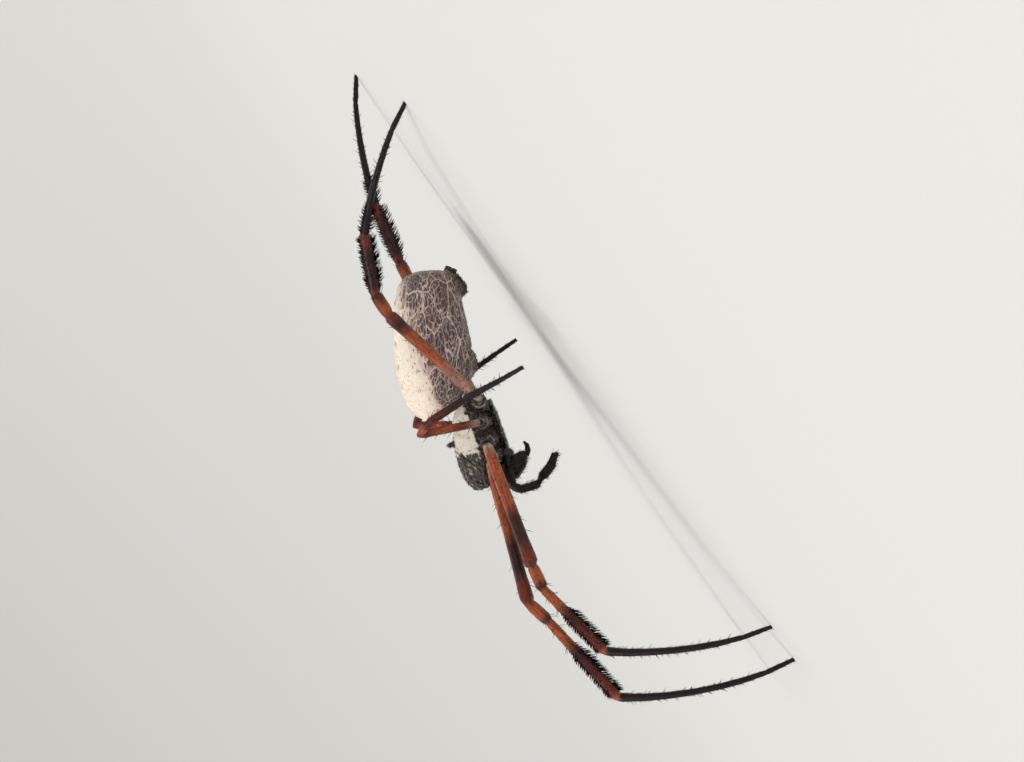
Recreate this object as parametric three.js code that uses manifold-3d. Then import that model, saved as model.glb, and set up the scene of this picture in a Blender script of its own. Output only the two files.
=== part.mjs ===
// Golden silk orb weaver, an adult female at life size. She stands still on six feet and holds
// the short third pair a little above the floor.
// Units are millimetres. She faces -Y, +Z is up and her left side is +X.
// The origin is the middle of the underside of the box round the whole animal.
import * as THREE from "three";
import { mergeVertices } from "three/addons/utils/BufferGeometryUtils.js";
import Module from "manifold-3d";

const wasm = await Module();
wasm.setup();

// Stance
const PEDICEL_HEIGHT = 16.7; // the waist above the floor
const PROSOMA_PITCH = 15; // degrees, head end up
const ABDOMEN_PITCH = 32; // degrees, front end up
const ABDOMEN_BACK = 11.0; // middle of the abdomen behind the waist
const ABDOMEN_LIFT = 0.3; // and above it
const GAP = 0.3; // clearance between neighbouring plates
const EYE_GAP = 0.08; // clearance of an eye in its socket

// Head and thorax under one shield, as stations from the waist to the face.
const SHIELD = [
  { forward: 1.0, halfWidth: 1.6, top: 1.6, rim: 0.6, bottom: -0.4 },
  { forward: 2.0, halfWidth: 3.4, top: 3.0, rim: 0.8, bottom: -1.2 },
  { forward: 3.4, halfWidth: 4.6, top: 4.1, rim: 0.9, bottom: -2.0 },
  { forward: 5.2, halfWidth: 5.1, top: 4.8, rim: 1.0, bottom: -2.2 },
  { forward: 7.4, halfWidth: 5.2, top: 5.4, rim: 1.0, bottom: -2.2 },
  { forward: 9.6, halfWidth: 4.8, top: 5.6, rim: 1.1, bottom: -2.2 },
  { forward: 11.4, halfWidth: 4.1, top: 5.75, rim: 1.3, bottom: -1.9 },
  { forward: 13.0, halfWidth: 3.7, top: 5.7, rim: 1.6, bottom: -0.4 },
  { forward: 14.6, halfWidth: 3.4, top: 5.3, rim: 2.0, bottom: 0.9 },
  { forward: 15.6, halfWidth: 2.9, top: 4.7, rim: 2.4, bottom: 1.5 },
  { forward: 16.1, halfWidth: 2.0, top: 4.1, rim: 2.8, bottom: 2.1 },
];
const SHIELD_UNDERCUT = 0.38; // how far the flanks draw in under the rim
const SHIELD_SIDES = 20;
const TUBERCLE = { forward: 7.3, aside: 1.0, base: 0.62, height: 1.0, sunk: 0.6 };

// Breast plate between the legs, as half widths from its rear to its front.
const STERNUM_TOP = -2.5;
const STERNUM_DEPTH = 0.9;
const STERNUM = [
  { forward: 2.2, halfWidth: 0.7 },
  { forward: 3.6, halfWidth: 1.7 },
  { forward: 5.6, halfWidth: 2.4 },
  { forward: 8.0, halfWidth: 2.7 },
  { forward: 10.0, halfWidth: 2.3 },
  { forward: 11.1, halfWidth: 1.3 },
];
const LABIUM = { forward: 11.7, aside: 0, up: -2.9, radii: [0.9, 0.55, 0.7] };
const ENDITE = { forward: 12.0, aside: 1.3, up: -2.3, radii: [1.15, 1.25, 1.5] };

// Jaws: stout bases that hang from the face, each with a folded fang.
const CHELICERA = [
  { forward: 14.2, aside: 1.75, up: 2.4, wide: 1.4, deep: 1.5 },
  { forward: 14.6, aside: 1.8, up: 0.7, wide: 1.65, deep: 1.85 },
  { forward: 14.8, aside: 1.85, up: -1.3, wide: 1.7, deep: 2.0 },
  { forward: 14.5, aside: 1.8, up: -3.2, wide: 1.55, deep: 1.95 },
  { forward: 13.7, aside: 1.65, up: -4.9, wide: 1.15, deep: 1.45 },
  { forward: 13.2, aside: 1.55, up: -5.6, wide: 0.7, deep: 0.8 },
];
const FANG = [
  { forward: 13.3, aside: 1.6, up: -5.6, radius: 0.5 },
  { forward: 12.6, aside: 1.3, up: -6.25, radius: 0.42 },
  { forward: 11.7, aside: 0.9, up: -6.4, radius: 0.3 },
  { forward: 11.0, aside: 0.55, up: -6.1, radius: 0.12 },
];

// Eyes: two rows of four, the outer two of each side close together.
const EYES = [
  { name: "front_middle", forward: 16.02, aside: 0.68, up: 3.45, radius: 0.36 },
  { name: "rear_middle", forward: 15.62, aside: 0.8, up: 4.5, radius: 0.36 },
  { name: "front_outer", forward: 15.38, aside: 2.62, up: 3.2, radius: 0.31 },
  { name: "rear_outer", forward: 14.9, aside: 2.75, up: 3.95, radius: 0.31 },
];

// Abdomen, as stations along its own axis: middle height, half height and half width.
const ABDOMEN = [
  { along: -11.9, middle: -0.4, halfHeight: 2.3, halfWidth: 2.4 },
  { along: -11.3, middle: -0.3, halfHeight: 4.0, halfWidth: 4.2 },
  { along: -9.8, middle: -0.2, halfHeight: 5.1, halfWidth: 5.3 },
  { along: -7.0, middle: -0.1, halfHeight: 5.75, halfWidth: 6.0 },
  { along: -3.0, middle: -0.2, halfHeight: 6.3, halfWidth: 6.4 },
  { along: 1.0, middle: -0.4, halfHeight: 6.7, halfWidth: 6.5 },
  { along: 4.6, middle: -0.5, halfHeight: 6.5, halfWidth: 6.3 },
  { along: 8.0, middle: -0.3, halfHeight: 5.7, halfWidth: 5.7 },
  { along: 10.8, middle: 0.1, halfHeight: 4.4, halfWidth: 4.6 },
  { along: 12.6, middle: 0.3, halfHeight: 2.7, halfWidth: 3.0 },
  { along: 13.5, middle: 0.4, halfHeight: 1.0, halfWidth: 1.1 },
];
const ABDOMEN_SIDES = 22;
const EPIGASTRIC = { along: 3.6, height: 1.7, spread: 1.7, sharpness: 5 };
const PEDICEL = { radius: 0.85, behind: 1.4, ahead: -2.6, rise: 0.35 };

// Spinnerets: one mound with two large pairs and the anal knob behind them.
const SPINNERET_MOUND = { along: -8.3, up: -3.0, tilt: 48, length: 2.3, base: 3.1, end: 2.5 };
const SPINNERET = { length: 1.8, base: 0.78, end: 0.42, spread: 1.05, splay: 14 };
const ANAL_KNOB = { length: 1.3, base: 0.75, end: 0.4, offset: 1.5 };

// Where each leg leaves the thorax: root inside the flank and end of its trochanter.
const LEG_ROOTS = [
  { root: [10.6, 2.0, -0.6], end: [12.2, 4.4, 0.6] },
  { root: [8.2, 2.2, -0.8], end: [9.2, 6.2, 0.3] },
  { root: [5.7, 2.2, -0.9], end: [5.4, 6.2, 0.1] },
  { root: [3.3, 2.0, -1.0], end: [1.4, 5.4, -1.2] },
];
const COXA = [
  { at: 0, thick: 0.95, deep: 1.35 },
  { at: 0.5, thick: 1.15, deep: 1.5 },
  { at: 0.66, thick: 0.95, deep: 1.15 },
  { at: 0.8, thick: 1.15, deep: 1.2 },
];

// Lengths of the free pieces of each leg, front pair first.
const LENGTHS = [
  { femur: 27.0, patella: 4.8, tibia: 18.0, metatarsus: 24.4, tarsus: 5.0 },
  { femur: 23.8, patella: 4.8, tibia: 15.6, metatarsus: 22.8, tarsus: 4.8 },
  { femur: 12.8, patella: 3.4, tibia: 7.4, metatarsus: 10.2, tarsus: 4.1 },
  { femur: 23.8, patella: 4.5, tibia: 10.8, metatarsus: 18.6, tarsus: 5.0 },
];
// Diameters in the same order: near the body and far from it.
const WIDTHS = [
  { femur: [2.15, 2.4], patella: [2.05, 2.15], tibia: [1.6, 1.9], foot: [1.2, 0.9, 0.76] },
  { femur: [2.1, 2.4], patella: [2.0, 2.1], tibia: [1.6, 1.9], foot: [1.2, 0.88, 0.74] },
  { femur: [1.7, 1.75], patella: [1.65, 1.6], tibia: [1.5, 1.35], foot: [1.1, 0.85, 0.74] },
  { femur: [2.0, 2.3], patella: [2.15, 2.2], tibia: [2.0, 2.1], foot: [1.3, 0.92, 0.76] },
];

// Pose of each leg in degrees. A heading turns outward from straight ahead, a pitch rises
// from level. A foot has a heading and a bow. A raised one has a pitch as well, and the pitch
// of the others is what reaches the floor.
const POSES = {
  left: [
    { femur: [30, 19], patella: [21, -12], tibia: [26, -6], foot: [31, 22] },
    { femur: [28, 14], patella: [30, 10], tibia: [28, -8], foot: [32, 20] },
    { femur: [120, 50], patella: [108, -42], tibia: [82, -76], foot: [83, 5, -43] },
    { femur: [147, 12], patella: [157, -1], tibia: [149, -21], foot: [141, 13] },
  ],
  right: [
    { femur: [18.5, 17.5], patella: [11.5, -12.5], tibia: [2.5, -7], foot: [27, 20] },
    { femur: [17, 12], patella: [19.5, 8], tibia: [7.5, -9.5], foot: [31.5, 18] },
    { femur: [130, 44], patella: [125, -44], tibia: [112, -74], foot: [98, 4, -85] },
    { femur: [168, -6], patella: [168, -8], tibia: [172, -12], foot: [176, 13] },
  ],
};
const LEG_SIDES = 8;
const PIECE_STATIONS = { femur: [0, 0.07, 0.3, 0.6, 0.86, 0.96, 1], patella: [0, 0.3, 0.7, 1] };
PIECE_STATIONS.tibia = PIECE_STATIONS.femur;
const SWELLING = { femur: 0.04, patella: 0.06, tibia: 0.12 }; // how much fuller they are midway
const JOINT_NARROWING = 0.86;
const FOOT_STEPS = 6; // straight lengths in the bowed metatarsus
const FOOT_TAPER = 2; // of them over which it thins
const FOOT_PITCHES = { low: -89, high: 40 };
const HALVINGS = 50;
const TARSUS_DROP = 6; // degrees that the tarsus falls below the end of the bow

// Brushes of stiff bristles round the shins of all but the third pair, as flat tapered locks.
const BRUSHES = [
  { start: 0.4, end: 0.87, rows: 6 },
  { start: 0.38, end: 0.86, rows: 5 },
  null,
  { start: 0.1, end: 0.83, rows: 6 },
];
const LOCKS_AROUND = 6;
const LOCK = { length: 2.0, width: 0.75, thickness: 0.45, lean: 34, bend: 22, sunk: 0.45 };
const LOCK_TAPER = [
  { share: 1, travel: 0.55, bent: 0 },
  { share: 0.7, travel: 0.45, bent: 1 },
];
const LOCK_VARIATION = 0.14; // share by which lengths and places differ
const BRUSH_SEED = 20;

// Palps: short feelers beside the jaws, bent down and back at the tip.
const PALP_ROOT = [12.3, 3.0, -2.3];
const PALP_WIDTH = 1.25;
const PALP_NECK = 0.9;
const PALP_NARROWING = 0.92;
const PALP = [
  { length: 5.4, heading: 22, pitch: 21, width: 0.95 },
  { length: 1.6, heading: 4, pitch: -28, width: 1.05 },
  { length: 2.8, heading: -7, pitch: -72, width: 1.0 },
  { length: 4.1, heading: -156, pitch: -72, width: 0.95 },
  { length: 2.4, heading: -162, pitch: -53, width: 0.6 },
];

// Corners round the smaller shapes, and the limits of joining and cutting.
const PLATE_SIDES = 12;
const COXA_SIDES = 10;
const STUB_SIDES = 8;
const STUB_SHOULDER = 0.8;
const STUB_TIP = 0.6;
const MERGE_TOLERANCE = 1e-4;
const FUSE_TOLERANCE = 0.004; // edges shorter than this are closed up after a cut or a join
const NEARLY_UPRIGHT = 0.99;

const SIDES = [
  { side: 1, name: "left" },
  { side: -1, name: "right" },
];

// Colours of the shell and its hair
const COLOURS = {
  shield: 0xcfc0a2,
  underside: 0x2a2024,
  jaw: 0x141114,
  eye: 0x0a0808,
  abdomen: 0x7c5f62,
  spinnerets: 0x2c2220,
  coxa: 0x3a2e2e,
  femur: 0xa8552c,
  patella: 0x8d4322,
  tibia: 0x46241d,
  foot: 0x17161a,
};

function material(colour, roughness) {
  return new THREE.MeshStandardMaterial({ color: colour, roughness, metalness: 0 });
}

const MATERIALS = {
  shield: material(COLOURS.shield, 0.85),
  underside: material(COLOURS.underside, 0.7),
  jaw: material(COLOURS.jaw, 0.25),
  eye: material(COLOURS.eye, 0.1),
  abdomen: material(COLOURS.abdomen, 0.75),
  spinnerets: material(COLOURS.spinnerets, 0.7),
  coxa: material(COLOURS.coxa, 0.6),
  femur: material(COLOURS.femur, 0.45),
  patella: material(COLOURS.patella, 0.45),
  tibia: material(COLOURS.tibia, 0.55),
  foot: material(COLOURS.foot, 0.5),
};

// A point of the body's own frame, from how far forward, aside and up it is.
function bodyPoint(forward, aside, up) {
  return new THREE.Vector3(aside, -forward, up);
}

// A unit vector from a heading off straight ahead and a pitch above level.
function direction(side, heading, pitch) {
  const turn = THREE.MathUtils.degToRad(heading);
  const rise = THREE.MathUtils.degToRad(pitch);
  const level = Math.cos(rise);
  return new THREE.Vector3(side * level * Math.sin(turn), -level * Math.cos(turn), Math.sin(rise));
}

// Six times the volume that an indexed surface closes in, negative when it is inside out.
function signedVolume(points, faces) {
  let sum = 0;
  for (const [a, b, c] of faces) {
    sum += points[a].dot(new THREE.Vector3().crossVectors(points[b], points[c]));
  }
  return sum;
}

// One closed surface through a row of rings with the same number of corners. A ring of one
// point closes to a tip, and a full ring at an end gets a flat cap.
function closedSkin(rings) {
  const points = rings.flat();
  const starts = [];
  let count = 0;
  for (const ring of rings) {
    starts.push(count);
    count += ring.length;
  }
  const faces = [];
  for (let i = 0; i + 1 < rings.length; i++) {
    const near = rings[i].length;
    const far = rings[i + 1].length;
    for (let j = 0; j < Math.max(near, far); j++) {
      const a = starts[i] + (j % near);
      const b = starts[i] + ((j + 1) % near);
      const c = starts[i + 1] + (j % far);
      const d = starts[i + 1] + ((j + 1) % far);
      if (near > 1) faces.push([a, b, far > 1 ? d : c]);
      if (far > 1) faces.push([a, d, c]);
    }
  }
  const last = rings.length - 1;
  for (let j = 1; j + 1 < rings[0].length; j++) {
    faces.push([starts[0], starts[0] + j + 1, starts[0] + j]);
  }
  for (let j = 1; j + 1 < rings[last].length; j++) {
    faces.push([starts[last], starts[last] + j, starts[last] + j + 1]);
  }
  if (signedVolume(points, faces) < 0) {
    for (const face of faces) face.reverse();
  }
  const geometry = new THREE.BufferGeometry().setFromPoints(points);
  geometry.setIndex(faces.flat());
  return geometry;
}

// Two directions square to an axis: across it on the level, and as far up as can be.
function crossAxes(axis) {
  const upright = Math.abs(axis.z) > NEARLY_UPRIGHT;
  const reference = upright ? new THREE.Vector3(0, -1, 0) : new THREE.Vector3(0, 0, 1);
  const across = new THREE.Vector3().crossVectors(axis, reference).normalize();
  const upward = new THREE.Vector3().crossVectors(across, axis).normalize();
  return { across, upward };
}

// An elliptic ring round a centre, square to an axis.
function ringAt(centre, axis, halfAcross, halfUp, sides) {
  const { across, upward } = crossAxes(axis);
  const ring = [];
  for (let i = 0; i < sides; i++) {
    const turn = ((i + 0.5) / sides) * Math.PI * 2;
    ring.push(
      centre
        .clone()
        .addScaledVector(across, halfAcross * Math.cos(turn))
        .addScaledVector(upward, halfUp * Math.sin(turn)),
    );
  }
  return ring;
}

// How far a point slides along an axis to reach a plane.
function slideTo(point, axis, plane) {
  return -plane.distanceToPoint(point) / plane.normal.dot(axis);
}

// A straight piece of leg whose ends are cut on the two planes it shares with its neighbours.
function legPiece(start, end, startPlane, endPlane, stations, sides) {
  const axis = end.clone().sub(start).normalize();
  const rings = [];
  for (const { at, halfAcross, halfUp } of stations) {
    const centre = start.clone().lerp(end, at);
    const ring = ringAt(centre, axis, halfAcross, halfUp, sides);
    ring.forEach((point) => {
      const offset = point.clone().sub(centre);
      const first = slideTo(start.clone().add(offset), axis, startPlane);
      const last = slideTo(end.clone().add(offset), axis, endPlane);
      point.addScaledVector(axis, first * (1 - at) ** 3 + last * at ** 3);
    });
    rings.push(ring);
  }
  return closedSkin(rings);
}

// The plane that halves the bend between two pieces, moved along by half the gap.
function jointPlane(point, before, after, shift) {
  const normal = before.clone().add(after).normalize();
  const moved = point.clone().addScaledVector(normal, shift);
  return new THREE.Plane().setFromNormalAndCoplanarPoint(normal, moved);
}

// A tube through a row of points, each with its own half widths.
function bentTube(points, halfWidths, sides, endPlanes) {
  const rings = points.map((point, i) => {
    const before = points[Math.max(i - 1, 0)];
    const after = points[Math.min(i + 1, points.length - 1)];
    const axis = after.clone().sub(before).normalize();
    const ring = ringAt(point, axis, halfWidths[i], halfWidths[i], sides);
    const plane = i === 0 ? endPlanes[0] : i === points.length - 1 ? endPlanes[1] : null;
    if (plane) ring.forEach((corner) => corner.addScaledVector(axis, slideTo(corner, axis, plane)));
    return ring;
  });
  return closedSkin(rings);
}

// A geometry as a solid that can be joined and cut.
function solidOf(geometry) {
  const bare = geometry.clone();
  bare.deleteAttribute("normal");
  bare.deleteAttribute("uv");
  const merged = mergeVertices(bare, MERGE_TOLERANCE);
  return new wasm.Manifold(
    new wasm.Mesh({
      numProp: 3,
      vertProperties: merged.attributes.position.array,
      triVerts: new Uint32Array(merged.index.array),
    }),
  );
}

// The largest closed surface of a solid, back as a geometry.
function geometryOf(solid) {
  const bodies = solid.setTolerance(FUSE_TOLERANCE).decompose();
  const largest = bodies.reduce((best, body) => (body.volume() > best.volume() ? body : best));
  const { numProp, vertProperties, triVerts } = largest.getMesh();
  const geometry = new THREE.BufferGeometry();
  geometry.setAttribute("position", new THREE.BufferAttribute(new Float32Array(vertProperties), numProp));
  geometry.setIndex(new THREE.BufferAttribute(new Uint32Array(triVerts), 1));
  return geometry;
}

function fused(geometries) {
  return geometryOf(geometries.map(solidOf).reduce((whole, piece) => whole.add(piece)));
}

function cutClear(geometry, neighbours) {
  const whole = solidOf(geometry);
  return geometryOf(neighbours.map(solidOf).reduce((rest, cutter) => rest.subtract(cutter), whole));
}

// A small rounded lump with its own radii: across, along and up.
function ellipsoid(centre, radii) {
  const lump = new THREE.SphereGeometry(1, PLATE_SIDES, PLATE_SIDES / 2);
  lump.rotateX(Math.PI / 2);
  lump.scale(...radii);
  lump.translate(centre.x, centre.y, centre.z);
  return lump;
}

// A tapered stub along a direction.
function stub(base, axis, length, baseRadius, endRadius, sides) {
  const end = base.clone().addScaledVector(axis, length);
  const shoulder = base.clone().addScaledVector(axis, length * STUB_SHOULDER);
  const middle = (baseRadius + endRadius) / 2;
  return closedSkin([
    ringAt(base, axis, baseRadius, baseRadius, sides),
    ringAt(shoulder, axis, middle, middle, sides),
    ringAt(end, axis, endRadius * STUB_TIP, endRadius * STUB_TIP, sides),
  ]);
}

// Corner angles of a body section. The half step keeps a flat, not a ridge, along the back.
function sectionTurn(i, sides) {
  return ((i + 0.5) / sides) * Math.PI * 2;
}

// The head and thorax, grown on all sides by a margin when it serves as a cutter.
function shieldShape(margin) {
  const last = SHIELD.length - 1;
  const rings = SHIELD.map((station, index) => {
    const push = index === 0 ? -margin : index === last ? margin : 0;
    const ring = [];
    for (let i = 0; i < SHIELD_SIDES; i++) {
      const turn = sectionTurn(i, SHIELD_SIDES);
      const depth = Math.max(0, -Math.sin(turn));
      const reach = Math.sin(turn) > 0 ? station.top - station.rim : station.rim - station.bottom;
      const aside = (station.halfWidth * (1 - SHIELD_UNDERCUT * depth) + margin) * Math.cos(turn);
      const up = station.rim + (reach + margin) * Math.sin(turn);
      ring.push(bodyPoint(station.forward + push, aside, up));
    }
    return ring;
  });
  return closedSkin(rings);
}

function sternumShape(margin) {
  const middle = STERNUM_TOP - STERNUM_DEPTH / 2;
  return closedSkin(
    STERNUM.map(({ forward, halfWidth }, index) => {
      const push = index === 0 ? -margin : index === STERNUM.length - 1 ? margin : 0;
      const half = STERNUM_DEPTH / 2 + margin;
      const centre = bodyPoint(forward + push, 0, middle);
      return ringAt(centre, bodyPoint(1, 0, 0), halfWidth + margin, half, PLATE_SIDES);
    }),
  );
}

// The abdomen in its own frame, with the swelling of the egg pore under its front half.
function abdomenShape(margin) {
  const last = ABDOMEN.length - 1;
  const rings = ABDOMEN.map((station, index) => {
    const push = index === 0 ? -margin : index === last ? margin : 0;
    const ring = [];
    for (let i = 0; i < ABDOMEN_SIDES; i++) {
      const turn = sectionTurn(i, ABDOMEN_SIDES);
      const under = Math.max(0, -Math.sin(turn)) ** EPIGASTRIC.sharpness;
      const near = Math.exp(-(((station.along - EPIGASTRIC.along) / EPIGASTRIC.spread) ** 2));
      const bulge = EPIGASTRIC.height * under * near;
      const aside = (station.halfWidth + margin) * Math.cos(turn);
      const up = station.middle + (station.halfHeight + margin + bulge) * Math.sin(turn);
      ring.push(bodyPoint(station.along + push, aside, up));
    }
    return ring;
  });
  return closedSkin(rings);
}

function cheliceraShape(side, margin) {
  const last = CHELICERA.length - 1;
  const rings = CHELICERA.map(({ forward, aside, up, wide, deep }, index) => {
    const drop = index === last ? margin : 0;
    const centre = bodyPoint(forward, side * aside, up - drop);
    const ring = [];
    for (let i = 0; i < PLATE_SIDES; i++) {
      const turn = sectionTurn(i, PLATE_SIDES);
      const forwards = (deep + margin) * Math.sin(turn);
      ring.push(centre.clone().add(bodyPoint(forwards, (wide + margin) * Math.cos(turn), 0)));
    }
    return ring;
  });
  return closedSkin(rings);
}

function fangShape(side) {
  const points = FANG.map(({ forward, aside, up }) => bodyPoint(forward, side * aside, up));
  return bentTube(points, FANG.map(({ radius }) => radius), STUB_SIDES, [null, null]);
}

// A small sphere for an eye, or with a margin for its socket.
function eyeShape(eye, side, margin) {
  const ball = new THREE.IcosahedronGeometry(eye.radius + margin, 1);
  const centre = bodyPoint(eye.forward, side * eye.aside, eye.up);
  ball.translate(centre.x, centre.y, centre.z);
  return ball;
}

function tubercleShape(side) {
  const { forward, aside, base, height, sunk } = TUBERCLE;
  const station = SHIELD.find((each) => each.forward >= forward);
  const foot = bodyPoint(forward, side * aside, station.top - sunk);
  return stub(foot, new THREE.Vector3(0, 0, 1), height + sunk, base, base / 2, STUB_SIDES);
}

function spinneretShape() {
  const { along, up, tilt, length, base, end } = SPINNERET_MOUND;
  const turn = THREE.MathUtils.degToRad(tilt);
  const axis = bodyPoint(-Math.cos(turn), 0, -Math.sin(turn));
  const cross = bodyPoint(Math.sin(turn), 0, -Math.cos(turn));
  const root = bodyPoint(along, 0, up);
  const top = root.clone().addScaledVector(axis, length);
  const pieces = [stub(root, axis, length + end / 2, base, end, PLATE_SIDES)];
  const splay = Math.tan(THREE.MathUtils.degToRad(SPINNERET.splay));
  for (const { side } of SIDES) {
    for (const fore of [1, -1]) {
      const away = bodyPoint(0, side * SPINNERET.spread, 0).addScaledVector(cross, fore * SPINNERET.spread);
      const lean = axis.clone().addScaledVector(away.clone().normalize(), -splay).normalize();
      const foot = top.clone().add(away).addScaledVector(axis, -SPINNERET.base);
      pieces.push(stub(foot, lean, SPINNERET.length, SPINNERET.base, SPINNERET.end, STUB_SIDES));
    }
  }
  const knob = top.addScaledVector(cross, -ANAL_KNOB.offset).addScaledVector(axis, -ANAL_KNOB.base);
  pieces.push(stub(knob, axis, ANAL_KNOB.length, ANAL_KNOB.base, ANAL_KNOB.end, STUB_SIDES));
  return fused(pieces);
}

// Half widths along a leg piece: drawn in at both joints and swollen a little between them.
function pieceStations(piece, [nearWidth, farWidth]) {
  return PIECE_STATIONS[piece].map((at) => {
    const mean = THREE.MathUtils.lerp(nearWidth, farWidth, at) / 2;
    const swell = 1 + SWELLING[piece] * Math.sin(Math.PI * at) ** 2;
    const narrow = at === 0 || at === 1 ? JOINT_NARROWING : 1;
    const half = mean * swell * narrow;
    return { at, halfAcross: half, halfUp: half };
  });
}

// Draws from -1 to 1 that come out the same each time.
function seededDraws(seed) {
  let state = seed;
  return () => {
    state = (Math.imul(state, 1664525) + 1013904223) >>> 0;
    return state / 2 ** 31 - 1;
  };
}

// One flat lock of bristles with a ridged back, leaning and bending toward the foot.
function lockShape(root, outward, along, length) {
  const across = new THREE.Vector3().crossVectors(along, outward).normalize();
  const rings = [];
  const centre = root.clone();
  for (const { share, travel, bent } of LOCK_TAPER) {
    const lean = THREE.MathUtils.degToRad(LOCK.lean + LOCK.bend * bent);
    const axis = outward.clone().multiplyScalar(Math.cos(lean)).addScaledVector(along, Math.sin(lean));
    const back = outward.clone().multiplyScalar(Math.sin(lean)).addScaledVector(along, -Math.cos(lean));
    const half = (LOCK.width * share) / 2;
    const rise = (LOCK.thickness * share) / 2;
    rings.push([
      centre.clone().addScaledVector(across, half).addScaledVector(back, -rise),
      centre.clone().addScaledVector(back, rise),
      centre.clone().addScaledVector(across, -half).addScaledVector(back, -rise),
    ]);
    centre.addScaledVector(axis, length * travel);
  }
  rings.push([centre.clone()]);
  return closedSkin(rings);
}

// A shin with its brush, its locks rooted below the shell in staggered rows.
function brushed(shin, start, end, brush, halfWidth, seed) {
  const draw = seededDraws(seed);
  const along = end.clone().sub(start).normalize();
  const { across, upward } = crossAxes(along);
  const pieces = [shin];
  for (let row = 0; row < brush.rows; row++) {
    for (let i = 0; i < LOCKS_AROUND; i++) {
      const place = (row + draw() * LOCK_VARIATION) / (brush.rows - 1);
      const at = THREE.MathUtils.lerp(brush.start, brush.end, THREE.MathUtils.clamp(place, 0, 1));
      const turn = ((i + (row % 2) / 2 + draw() * LOCK_VARIATION) / LOCKS_AROUND) * Math.PI * 2;
      const outward = across.clone().multiplyScalar(Math.cos(turn)).addScaledVector(upward, Math.sin(turn));
      const root = start.clone().lerp(end, at).addScaledVector(outward, halfWidth * LOCK.sunk);
      pieces.push(lockShape(root, outward, along, LOCK.length * (1 + draw() * LOCK_VARIATION)));
    }
  }
  return fused(pieces);
}

// The middle line of a bowed foot from the end of the shin.
function footLine(start, lengths, side, heading, bow, pitch) {
  const foot = [start];
  for (let i = 0; i < FOOT_STEPS; i++) {
    const bend = bow * (0.5 - (i + 0.5) / FOOT_STEPS);
    const step = direction(side, heading, pitch + bend);
    foot.push(foot.at(-1).clone().addScaledVector(step, lengths.metatarsus / FOOT_STEPS));
  }
  const tarsus = direction(side, heading, pitch - bow / 2 - TARSUS_DROP);
  foot.push(foot.at(-1).clone().addScaledVector(tarsus, lengths.tarsus));
  return foot;
}

// The joints of one leg from the trochanter outward, and its foot, raised or on the floor.
function legJoints(hip, lengths, pose, side) {
  const joints = [hip];
  for (const piece of ["femur", "patella", "tibia"]) {
    const step = direction(side, ...pose[piece]).multiplyScalar(lengths[piece]);
    joints.push(joints.at(-1).clone().add(step));
  }
  const [heading, bow, raisedPitch] = pose.foot;
  const raised = raisedPitch !== undefined;
  let { low, high } = FOOT_PITCHES;
  let pitch = raised ? raisedPitch : (low + high) / 2;
  let foot = footLine(joints.at(-1), lengths, side, heading, bow, pitch);
  for (let round = 0; round < HALVINGS && !raised; round++) {
    if (foot.at(-1).z > 0) high = pitch;
    else low = pitch;
    pitch = (low + high) / 2;
    foot = footLine(joints.at(-1), lengths, side, heading, bow, pitch);
  }
  return { joints, raised, foot };
}

// A coxa with its trochanter: an oval root in the flank that ends square to the femur.
function coxaShape(roots, side, femurAxis) {
  const root = bodyPoint(roots.root[0], side * roots.root[1], roots.root[2]);
  const end = bodyPoint(roots.end[0], side * roots.end[1], roots.end[2]);
  const axis = end.clone().sub(root).normalize();
  const stations = COXA.map(({ at, thick, deep }) => ({ at, halfAcross: thick, halfUp: deep }));
  return { root, end, axis, stations, plane: jointPlane(end, axis, femurAxis, -GAP / 2) };
}

// One palp as a single bent feeler.
function palpShape(root, side) {
  const points = [root];
  const halfWidths = [(PALP_WIDTH / 2) * PALP_NECK];
  for (const { length, heading, pitch, width } of PALP) {
    const axis = direction(side, heading, pitch);
    const start = points.at(-1);
    points.push(start.clone().addScaledVector(axis, length * 0.5));
    points.push(start.clone().addScaledVector(axis, length));
    const half = (PALP_WIDTH * width) / 2;
    halfWidths.push(half, half * PALP_NARROWING);
  }
  return bentTube(points, halfWidths, LEG_SIDES, [null, null]);
}

const spider = new THREE.Group();
const prosoma = new THREE.Group();
prosoma.position.set(0, 0, PEDICEL_HEIGHT);
prosoma.rotation.x = -THREE.MathUtils.degToRad(PROSOMA_PITCH);
const opisthosoma = new THREE.Group();
opisthosoma.position.set(0, ABDOMEN_BACK, PEDICEL_HEIGHT + ABDOMEN_LIFT);
opisthosoma.rotation.x = -THREE.MathUtils.degToRad(ABDOMEN_PITCH);
const limbs = new THREE.Group();
spider.add(prosoma, opisthosoma, limbs);
spider.updateMatrixWorld(true);

function addMesh(group, name, geometry, finish) {
  const mesh = new THREE.Mesh(geometry, finish);
  mesh.name = name;
  group.add(mesh);
}

// A geometry carried from a group's own frame into the spider's frame.
function outOf(group, geometry) {
  return geometry.clone().applyMatrix4(group.matrixWorld);
}

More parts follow.
